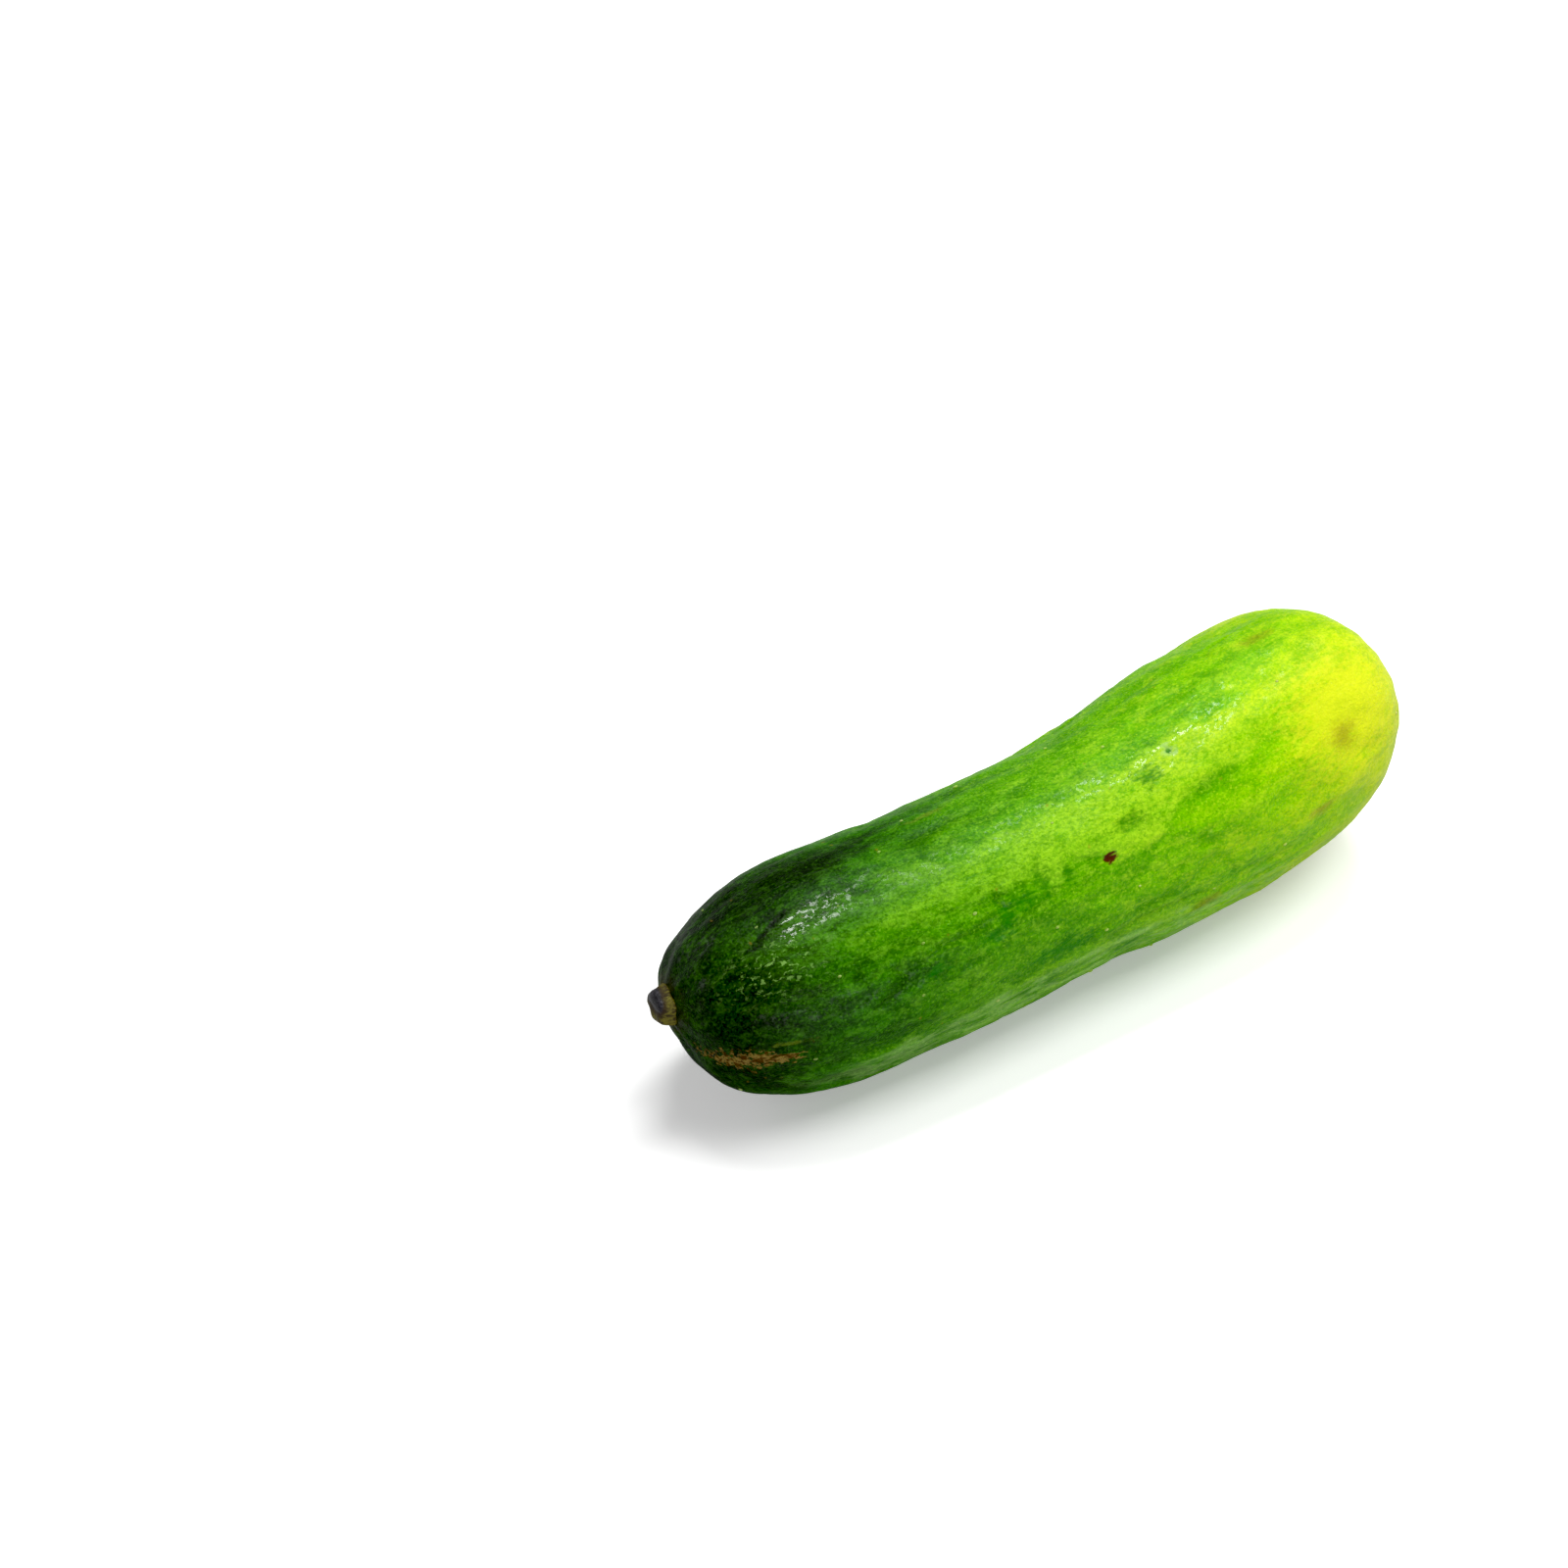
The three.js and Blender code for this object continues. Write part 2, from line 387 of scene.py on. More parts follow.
@dataclass
class SkinRelief:
    """What stands out of and sinks into the skin, in millimetres."""

    length: float
    groove_angles: tuple[float, ...] = (8, 37, 66, 88, 108, 134, 158, 184, 203, 232, 262, 291, 322, 346)
    groove_depth: float = 0.26
    groove_width: float = 4.2
    groove_wander: float = 3.2
    groove_wander_cell: Cell = (26, 1, 1)
    groove_fading_cell: Cell = (17, 1, 1)
    groove_step: float = 7.3
    lump_height: float = 0.32
    lump_cell: Cell = (24, 13, 13)
    knob_height: float = 0.28
    knob_cell: Cell = (8, 5, 5)
    crease_depth: float = 0.26
    crease_cell: Cell = (21, 4.6, 4.6)
    crease_patch_cell: Cell = (15, 8, 8)
    crease_bend: float = 1.1
    crease_bend_cell: Cell = (6, 4, 4)
    crease_width: float = 0.09
    rim_place: float = 0.22
    rim_share: float = 0.4
    pleat_height: float = 0.11
    pleat_pitch: float = 6.2
    pleat_wander: float = 5.0
    pleat_wander_cell: Cell = (22, 9, 9)
    pleat_fade: float = 14.0
    pleat_places: tuple[tuple[float, float, float, float], ...] = (
        (38, 128, 198, 13),
        (52, 112, 276, 12),
        (24, 92, 338, 12),
        (70, 132, 32, 12),
    )
    rib_rise: float = 0.26
    wrinkle_height: float = 0.12
    wrinkle_cell: Cell = (4.2, 2.2, 2.2)
    grit_height: float = 0.045
    grit_cell: Cell = (1.6, 1.2, 1.2)
    scar_radius: float = 4.5
    scar_depth: float = 0.7
    puckers: int = 9
    pucker_height: float = 0.16
    pucker_radius: float = 4.2
    pucker_width: float = 2.4
    nub_radius: float = 1.1
    nub_height: float = 0.55
    furrows: int = 10
    furrow_height: float = 0.22
    furrow_radius: float = 7.5
    furrow_width: float = 4.0
    furrow_shift: float = 0.8
    marks: tuple[SkinMark, ...] = SKIN_MARKS

    def faded(
        self, straight: np.ndarray, stalk: tuple[float, float], blossom: tuple[float, float]
    ) -> np.ndarray:
        """Returns 1 along the fruit, easing to 0 between two distances from each end."""
        station = straight[:, 0]
        return smooth(station, *stalk) * smooth(self.length - station, *blossom)

    def grooves(self, straight: np.ndarray) -> np.ndarray:
        """Lengthwise grooves between the ribs, wandering and fading along the fruit.

        Args:
            straight: Straightened points in millimetres.

        Returns:
            0 on a rib, down to about -1 in the middle of a groove.
        """
        wander = SmoothNoise(Seed.GROOVE_WANDER)
        fading = SmoothNoise(Seed.GROOVE_FADING)
        typical, swing = 0.55, 0.45
        total = np.zeros(len(straight))
        for number, groove in enumerate(self.groove_angles):
            track = np.zeros((len(straight), 3))
            track[:, 0] = straight[:, 0]
            track[:, 1] = self.groove_step * number
            middle = groove + self.groove_wander * wander.at(track, self.groove_wander_cell)
            away = turn_from(straight, middle)
            strength = typical + swing * fading.at(track, self.groove_fading_cell)
            total -= strength * np.exp(-((away / self.groove_width) ** 2))
        return total * self.faded(straight, (1, 16), (2, 30))

    def creases(self, straight: np.ndarray) -> np.ndarray:
        """Crooked lengthwise creases of slightly shrunken skin, in patches.

        Args:
            straight: Straightened points in millimetres.

        Returns:
            Down to -1 in a crease, and a little above 0 along its rims.
        """
        bent = straight.copy()
        for place, seed in ((1, Seed.CREASE_SIDE), (2, Seed.CREASE_UP)):
            bend = SmoothNoise(seed).at(straight, self.crease_bend_cell)
            bent[:, place] += self.crease_bend * bend
        line = SmoothNoise(Seed.CREASES).at(bent, self.crease_cell)
        spread = SmoothNoise(Seed.CREASE_PATCHES).at(straight, self.crease_patch_cell)
        patch = smooth(spread, 0.0, 0.4)
        ends = self.faded(straight, (8, 24), (8, 34))
        valley = np.exp(-((line / self.crease_width) ** 2))
        rim = np.exp(-(((np.abs(line) - self.rim_place) / self.crease_width) ** 2))
        return (self.rim_share * rim - valley) * patch * ends

    def pleats(self, straight: np.ndarray) -> np.ndarray:
        """Fine parallel folds along the skin, in a few places.

        Args:
            straight: Straightened points in millimetres.

        Returns:
            From -1 between folds to 1 on them.
        """
        total = np.zeros(len(straight))
        wander = SmoothNoise(Seed.PLEATS).at(straight, self.pleat_wander_cell)
        fade = self.pleat_fade
        # Each place is a first and a last station, a middle angle and half a width round.
        for start, end, middle, half in self.pleat_places:
            turn = turn_from(straight, middle) + self.pleat_wander * wander
            along = smooth(straight[:, 0], start, start + fade)
            along *= smooth(-straight[:, 0], -end, fade - end)
            window = np.exp(-((turn / half) ** 4))
            total += np.cos(2 * math.pi * turn / self.pleat_pitch) * window * along
        return total

    def lumps(self, straight: np.ndarray) -> np.ndarray:
        """Broad lumps and knobs, a little longer than wide.

        Args:
            straight: Straightened points in millimetres.

        Returns:
            Their height in millimetres.
        """
        broad = self.lump_height * SmoothNoise(Seed.LUMPS).at(straight, self.lump_cell)
        knobs = self.knob_height * SmoothNoise(Seed.KNOBS).at(straight, self.knob_cell)
        return (broad + knobs) * self.faded(straight, (-1, 8), (-1, 10))

    def grit(self, straight: np.ndarray) -> np.ndarray:
        """Fine wrinkles and grit, calmer near the stalk.

        Args:
            straight: Straightened points in millimetres.

        Returns:
            Their height in millimetres.
        """
        calmest = 0.35
        ends = calmest + (1 - calmest) * smooth(straight[:, 0], 2, 14)
        wrinkles = self.wrinkle_height * SmoothNoise(Seed.WRINKLES).at(straight, self.wrinkle_cell)
        grit = self.grit_height * SmoothNoise(Seed.GRIT).at(straight, self.grit_cell)
        return (wrinkles + grit) * ends

    def crest(self, straight: np.ndarray) -> np.ndarray:
        """How high or low the skin stands, for painted shade in its low places and painted light on its
        high ones.

        Args:
            straight: Straightened points in millimetres.

        Returns:
            From about -1 in a crease to 1 on a knob.
        """
        fine = SmoothNoise(Seed.WRINKLES).at(straight, self.wrinkle_cell)
        fine += SmoothNoise(Seed.KNOBS).at(straight, self.knob_cell)
        crease_share, groove_share, pleat_share, fine_share = 0.8, 0.45, 0.35, 0.5
        folds = groove_share * self.grooves(straight) + pleat_share * self.pleats(straight)
        return crease_share * self.creases(straight) + folds + fine_share * fine

    def mark_depth(self, straight: np.ndarray, mark: SkinMark) -> np.ndarray:
        """How far one mark moves the skin.

        Args:
            straight: Straightened points in millimetres.
            mark: The mark.

        Returns:
            Millimetres outward.
        """
        radius = float(np.median(np.hypot(straight[:, 1], straight[:, 2])))
        offset = straight - np.asarray(mark.centre(radius))
        turn = math.radians(mark.angle)
        facing = straight[:, 1] * math.cos(turn) + straight[:, 2] * math.sin(turn) > 0
        along = offset[:, 0] / (mark.length / 2)
        across = offset @ np.asarray(mark.across()) / (mark.width / 2)
        away = along**2 + across**2
        shape = np.exp(-away)
        if mark.kind is MarkKind.CRATER:
            # A pit inside a raised ring.
            steepness, rim_height, rim_radius, rim_width = 2.2, 0.7, 1.1, 0.08
            rim = rim_height * np.exp(-((np.sqrt(away) - rim_radius) ** 2) / rim_width)
            shape = np.exp(-steepness * away) - rim
        return np.where(facing, -mark.depth * shape, 0.0)

    def blossom_scar(self, straight: np.ndarray) -> np.ndarray:
        """The dimple at the blossom end, puckered round a small corky nub.

        Args:
            straight: Straightened points in millimetres.

        Returns:
            Millimetres outward.
        """
        radius = np.hypot(straight[:, 1], straight[:, 2])
        angle = np.arctan2(straight[:, 2], straight[:, 1])
        near = smooth(straight[:, 0], 0.8 * self.length, 0.9 * self.length)
        dimple = -self.scar_depth * np.exp(-((radius / self.scar_radius) ** 2))
        ring = np.exp(-(((radius - self.pucker_radius) / self.pucker_width) ** 2))
        pucker = self.pucker_height * np.cos(self.puckers * angle) * ring
        nub = self.nub_height * np.exp(-((radius / self.nub_radius) ** 4))
        return near * (dimple + pucker + nub)

    def neck_furrows(self, straight: np.ndarray, neck: np.ndarray) -> np.ndarray:
        """Furrows that run out from the stalk over the shoulder.

        Args:
            straight: Straightened points in millimetres.
            neck: Middle of the neck's face, straightened.

        Returns:
            Millimetres outward.
        """
        offset = straight - neck
        radius = np.hypot(offset[:, 1], offset[:, 2])
        angle = np.arctan2(offset[:, 2], offset[:, 1])
        near = smooth(-straight[:, 0], -22, -6)
        ring = np.exp(-(((radius - self.furrow_radius) / self.furrow_width) ** 2))
        uneven = self.furrow_shift * np.sin(3 * angle)
        return near * ring * self.furrow_height * np.cos(self.furrows * angle + uneven)

    def height(self, straight: np.ndarray, neck: np.ndarray) -> np.ndarray:
        """Sums the whole relief.

        Args:
            straight: Straightened points of the skin, in millimetres.
            neck: Middle of the neck's face, straightened.

        Returns:
            How far each point moves outward, in millimetres.
        """
        total = self.groove_depth * self.grooves(straight)
        total += self.crease_depth * self.creases(straight)
        total += self.pleat_height * self.pleats(straight)
        total += self.lumps(straight) + self.grit(straight)
        bands = PaleBands()
        total += self.rib_rise * bands.strongest(bands.ribs, straight)
        total += self.blossom_scar(straight) + self.neck_furrows(straight, neck)
        for mark in self.marks:
            if mark.depth:
                total += self.mark_depth(straight, mark)
        return total


@dataclass
class FruitSkin:
    """The skin of the fruit: a fine surface laid over the frame's fruit.

    The pivots are where the lines that find the end caps start, measured from each end.
    smoothing and kept_waves say how much of the frame's facets is taken out, along the
    fruit and round it.
    """

    axis: CurvedAxis
    neck: np.ndarray
    rings: int = 372
    sides: int = 256
    survey_sides: int = 48
    kept_waves: int = 6
    stalk_pivot: float = 32.0
    blossom_pivot: float = 30.0
    smoothing: float = 1.5
    length: float = field(init=False, default=0.0)
    tree: BVHTree | None = field(init=False, default=None)

    def survey(self, node: bpy.types.Object) -> None:
        """Straightens the frame's fruit and keeps it for measuring.

        Args:
            node: The frame's fruit.
        """
        straight = self.axis.straighten(mesh_points(node))
        self.length = float(straight[:, 0].max())
        faces = [tuple(face.vertices) for face in node.data.polygons]
        self.tree = BVHTree.FromPolygons(straight.tolist(), faces)

    def rays(self, walk: np.ndarray, angles: np.ndarray) -> tuple[np.ndarray, np.ndarray]:
        """Lines from inside the fruit to its skin.

        Args:
            walk: 0 at the stalk pole, 1 to 2 along the barrel, 3 at the blossom pole.
            angles: Angles round the section, in radians.

        Returns:
            Origins and unit directions, one row of angles for each step of the walk.
        """
        far_pivot = self.length - self.blossom_pivot
        stops = [0, 1, 2, 3]
        station = np.interp(walk, stops, [self.stalk_pivot, self.stalk_pivot, far_pivot, far_pivot])
        lean = np.interp(walk, stops, [math.pi / 2, 0, 0, math.pi / 2])
        origin = np.array([self.stalk_pivot, 0.0, 0.0])
        stalk_pole = (self.neck - origin) / np.linalg.norm(self.neck - origin)
        pole = np.where((walk < 1.5)[:, None], stalk_pole, np.array([1.0, 0.0, 0.0]))
        radial = np.stack([np.zeros_like(angles), np.cos(angles), np.sin(angles)], axis=1)
        directions = np.cos(lean)[:, None, None] * radial + (np.sin(lean)[:, None] * pole)[:, None, :]
        directions /= np.linalg.norm(directions, axis=2, keepdims=True)
        origins = np.zeros_like(directions)
        origins[..., 0] = station[:, None]
        return origins, directions

    def reach(self, origins: np.ndarray, directions: np.ndarray) -> np.ndarray:
        """Measures how far each line runs before it meets the frame's fruit.

        Args:
            origins: Where the lines start, rings by sides by 3.
            directions: Their unit directions.

        Returns:
            The lengths, rings by sides.
        """
        lines = zip(origins.reshape(-1, 3), directions.reshape(-1, 3))
        hits = [self.tree.ray_cast(Vector(origin), Vector(direction))[3] for origin, direction in lines]
        return np.array(hits, dtype=float).reshape(origins.shape[:2])

    def even_walk(self) -> tuple[np.ndarray, float]:
        """Spaces the rings evenly over the skin.

        Returns:
            The walk value of each ring and both poles, and the spacing in millimetres.
        """
        trial_steps = 400
        walk = np.linspace(0, 3, trial_steps)
        angles = np.radians([0.0, 90.0, 180.0, 270.0])
        origins, directions = self.rays(walk, angles)
        points = origins + self.reach(origins, directions)[..., None] * directions
        steps = np.linalg.norm(np.diff(points, axis=0), axis=2).mean(axis=1)
        run = np.concatenate([[0.0], np.cumsum(steps)])
        even = np.interp(np.linspace(0, run[-1], self.rings + 2), run, walk)
        return even, float(run[-1] / (self.rings + 1))

    def smoothed(self, reach: np.ndarray, spacing: float) -> np.ndarray:
        """Takes the frame's facets out of the measured reaches and fills in the angles.

        Args:
            reach: Measured reaches, one row per ring.
            spacing: Distance between rings, in millimetres.

        Returns:
            Smooth reaches with one value per vertex of the fine rings.
        """
        half = int(4 * self.smoothing / spacing)
        window = np.exp(-0.5 * (np.arange(-half, half + 1) * spacing / self.smoothing) ** 2)
        window /= window.sum()
        # Past a pole the skin goes on down the other side, half a turn round.
        turned = np.roll(reach, reach.shape[1] // 2, axis=1)
        padded = np.concatenate([turned[half:0:-1], reach, turned[-2 : -half - 2 : -1]])
        eased = np.stack([np.convolve(column, window, mode="valid") for column in padded.T], axis=1)
        # Round the section only the broad waves are kept, at a finer spacing.
        waves = np.fft.rfft(eased, axis=1)
        waves[:, self.kept_waves + 1 :] = 0
        fine = np.zeros((len(reach), self.sides // 2 + 1), dtype=complex)
        fine[:, : waves.shape[1]] = waves
        return np.fft.irfft(fine, n=self.sides, axis=1) * self.sides / reach.shape[1]

    def base_rings(self) -> tuple[np.ndarray, np.ndarray]:
        """Lays the fine rings over the frame's fruit, without relief.

        Returns:
            Straightened points and outward normals, rings by sides by 3.
        """
        walk, spacing = self.even_walk()
        coarse = np.arange(self.survey_sides) * 2 * math.pi / self.survey_sides
        reach = self.smoothed(self.reach(*self.rays(walk, coarse)), spacing)
        fine = np.arange(self.sides) * 2 * math.pi / self.sides
        origins, directions = self.rays(walk, fine)
        points = origins + reach[..., None] * directions
        along = np.gradient(points, axis=0)
        around = np.roll(points, -1, axis=1) - np.roll(points, 1, axis=1)
        normals = np.cross(around, along)
        # All the points of a pole coincide, so its normal is the line that found it.
        normals[0] = directions[0]
        normals[-1] = directions[-1]
        normals /= np.linalg.norm(normals, axis=2, keepdims=True)
        return points, normals

    def build(self, node: bpy.types.Object, relief: SkinRelief) -> bpy.types.Object:
        """Makes the skin.

        Args:
            node: The frame's fruit.
            relief: What stands out of and sinks into the skin.

        Returns:
            The skin's mesh piece.
        """
        points, normals = self.base_rings()
        inner = slice(1, -1)
        straight = np.concatenate([points[0, :1], points[inner].reshape(-1, 3), points[-1, :1]])
        outward = np.concatenate([normals[0, :1], normals[inner].reshape(-1, 3), normals[-1, :1]])
        height = relief.height(straight, self.neck)
        placed = self.axis.place(straight + outward * height[:, None])
        # Nothing sinks into the table.
        placed[:, 2] = np.maximum(placed[:, 2], 0.0)
        skin = new_piece("cucumber_skin", placed, ring_faces(self.rings, self.sides))
        store_vectors(skin, STRAIGHT, straight)
        store_values(skin, CREST, relief.crest(straight))
        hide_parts(node.name)
        return skin


@dataclass
class SpineBases:
    """The small pale warts that the spines of the young fruit stood on.

    Some stand at known stations and angles; the others are spread over the skin.
    """

    known: tuple[tuple[float, float], ...] = (
        (17.0, 180.0),
        (36.0, 164.0),
        (38.0, 140.0),
        (48.0, 72.0),
        (62.0, 61.0),
        (62.0, 161.0),
        (72.0, 177.0),
        (95.0, 186.0),
        (142.0, 156.0),
    )
    count: int = 40
    least_gap: float = 9.0
    width: tuple[float, float] = (0.35, 0.7)
    height_share: float = 0.42
    stretch: float = 1.5
    sides: int = 10
    rings: int = 4

    def pick(self, skin: bpy.types.Object, straight: np.ndarray) -> list[int]:
        """Chooses well-spread vertices of the skin to carry a wart.

        Args:
            skin: The finished skin.
            straight: Its vertices, straightened.

        Returns:
            The vertices' numbers.
        """
        rng = np.random.default_rng(int(Seed.WART_PLACES))
        points = mesh_points(skin)
        chosen: list[int] = []
        typical_radius = 20
        for station, angle in self.known:
            around = np.radians(turn_from(straight, angle)) * typical_radius
            chosen.append(int(np.argmin(np.hypot(straight[:, 0] - station, around))))
        stalk_margin, blossom_margin, table_gap = 6, 5, 1.0
        low, high = points[:, 0].min() + stalk_margin, points[:, 0].max() - blossom_margin
        for number in rng.permutation(len(points)):
            point = points[number]
            clear = all(np.linalg.norm(points[other] - point) > self.least_gap for other in chosen)
            if clear and low < point[0] < high and point[2] > table_gap:
                chosen.append(int(number))
            if len(chosen) == self.count:
                break
        return chosen

    def dome(self, width: float) -> np.ndarray:
        """Makes one wart about the origin, standing along +Z, as a flattened ball.

        Args:
            width: How wide it is across the fruit, in millimetres.

        Returns:
            Its points, from the lower pole to the upper one.
        """
        points = [np.array([0.0, 0.0, -0.5 * width * self.height_share])]
        for ring in range(1, self.rings + 1):
            lift = -math.pi / 2 + math.pi * ring / (self.rings + 1)
            for side in range(self.sides):
                turn = 2 * math.pi * side / self.sides
                radius = 0.5 * width * math.cos(lift)
                height = width * self.height_share * math.sin(lift)
                along = self.stretch * radius * math.cos(turn)
                points.append(np.array([along, radius * math.sin(turn), height]))
        points.append(np.array([0.0, 0.0, width * self.height_share]))
        return np.array(points)

    def build(self, skin: bpy.types.Object, axis: CurvedAxis) -> bpy.types.Object:
        """Makes all the warts as one piece, each a closed body sunk into the skin.

        Args:
            skin: The finished skin.
            axis: The fruit's curved axis, for their long direction.

        Returns:
            The piece that holds them.
        """
        rng = np.random.default_rng(int(Seed.WART_WIDTHS))
        points = mesh_points(skin)
        straight = axis.straighten(points)
        faces: list[tuple[int, ...]] = []
        placed: list[np.ndarray] = []
        wart_faces = ring_faces(self.rings, self.sides)
        for number in self.pick(skin, straight):
            dome = self.dome(rng.uniform(*self.width))
            up = skin.data.vertices[number].normal.normalized()
            along = Vector((1.0, 0.0, 0.0)) - up * up.x
            along.normalize()
            turn = np.array(Matrix((along, up.cross(along), up)).transposed())
            start = len(placed) * len(dome)
            placed.append(dome @ turn.T + points[number])
            faces += [tuple(start + vertex for vertex in face) for face in wart_faces]
        everything = np.concatenate(placed)
        warts = new_piece("spine_bases", everything, faces)
        store_vectors(warts, STRAIGHT, axis.straighten(everything))
        return warts


@dataclass
class StalkStub:
    """The dry remnant of the stalk, grown into the neck.

    profile gives its outline from the root to the tip. Each row is a height, as a share of
    the root's depth below the neck and of the stub's length above it, and a share of the
    stub's radius at the neck.
    """

    axis: CurvedAxis
    rings: int = 44
    sides: int = 60
    angles: int = 5
    angle_depth: float = 0.055
    root_depth: float = 1.1
    wobble: float = 0.11
    wobble_cell: float = 1.2
    lean: float = 0.10
    cap_rise: float = 0.75
    cap_tilt: float = 0.6
    profile: tuple[tuple[float, float], ...] = (
        (-1.0, 0.92),
        (-0.45, 1.03),
        (0.0, 1.00),
        (0.25, 0.94),
        (0.5, 0.90),
        (0.72, 0.86),
        (0.88, 0.76),
        (0.97, 0.58),
        (1.0, 0.34),
        (1.0, 0.0),
    )

    def outline(self, length: float) -> tuple[np.ndarray, np.ndarray]:
        """Spaces the rings along the profile and rounds its corners.

        Args:
            length: The stub's length above the neck, in millimetres.

        Returns:
            Height above the neck and share of the radius, for each ring and both poles.
        """
        knots, shares = np.array(self.profile).T
        run = np.linspace(0, len(knots) - 1, self.rings + 2)
        order = np.arange(len(knots))
        height = np.interp(run, order, np.where(knots < 0, knots * self.root_depth, knots * length))
        share = np.interp(run, order, shares)
        # Averaging along the profile is what rounds it.
        kernel = np.array([1, 2, 3, 2, 1]) / 9
        height[2:-2] = np.convolve(height, kernel, mode="valid")
        share[2:-2] = np.convolve(share, kernel, mode="valid")
        return height, share

    def build(self, node: bpy.types.Object) -> bpy.types.Object:
        """Makes the stub over the frame's one, with its root sunk into the neck.

        Args:
            node: The frame's stub.

        Returns:
            The stub's mesh piece.
        """
        local = self.axis.straighten(mesh_points(node))
        seat, tip = local[:, 0].max(), local[:, 0].min()
        middle = (local[:, 1:].max(0) + local[:, 1:].min(0)) / 2
        radii = np.hypot(*(local[:, 1:] - middle).T)
        seat_radius = radii.max()
        length = seat - tip
        height, share = self.outline(length)
        turn = np.arange(self.sides) * 2 * math.pi / self.sides
        flute = 1 + self.angle_depth * np.cos(self.angles * turn)
        noise = SmoothNoise(Seed.STUB)
        points = [np.array([seat + self.root_depth, middle[0], middle[1]])]
        for up, part in zip(height[1:-1], share[1:-1]):
            radius = seat_radius * part * flute
            ring = np.stack([np.full(self.sides, -up), radius * np.cos(turn), radius * np.sin(turn)], 1)
            shake = self.wobble * noise.at(ring + 50, (self.wobble_cell,) * 3)
            ring += shake[:, None] * np.array([1.0, 0.6, 0.6])
            ring[:, 2] += self.lean * max(up, 0.0)
            points += list(ring + np.array([seat, middle[0], middle[1]]))
        points.append(np.array([tip, middle[0], middle[1] + self.lean * length]))
        straight = np.array(points)
        faces = [tuple(reversed(face)) for face in ring_faces(self.rings, self.sides)]
        stub = new_piece("stalk_stub_dry", self.axis.place(straight), faces)
        rise = self.cap_rise * np.clip((seat - straight[:, 0]) / length, 0, 1)
        rise += self.cap_tilt * (straight[:, 2] - middle[1]) / seat_radius
        store_vectors(stub, STRAIGHT, straight)
        store_values(stub, CREST, rise)
        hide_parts(node.name)
        return stub


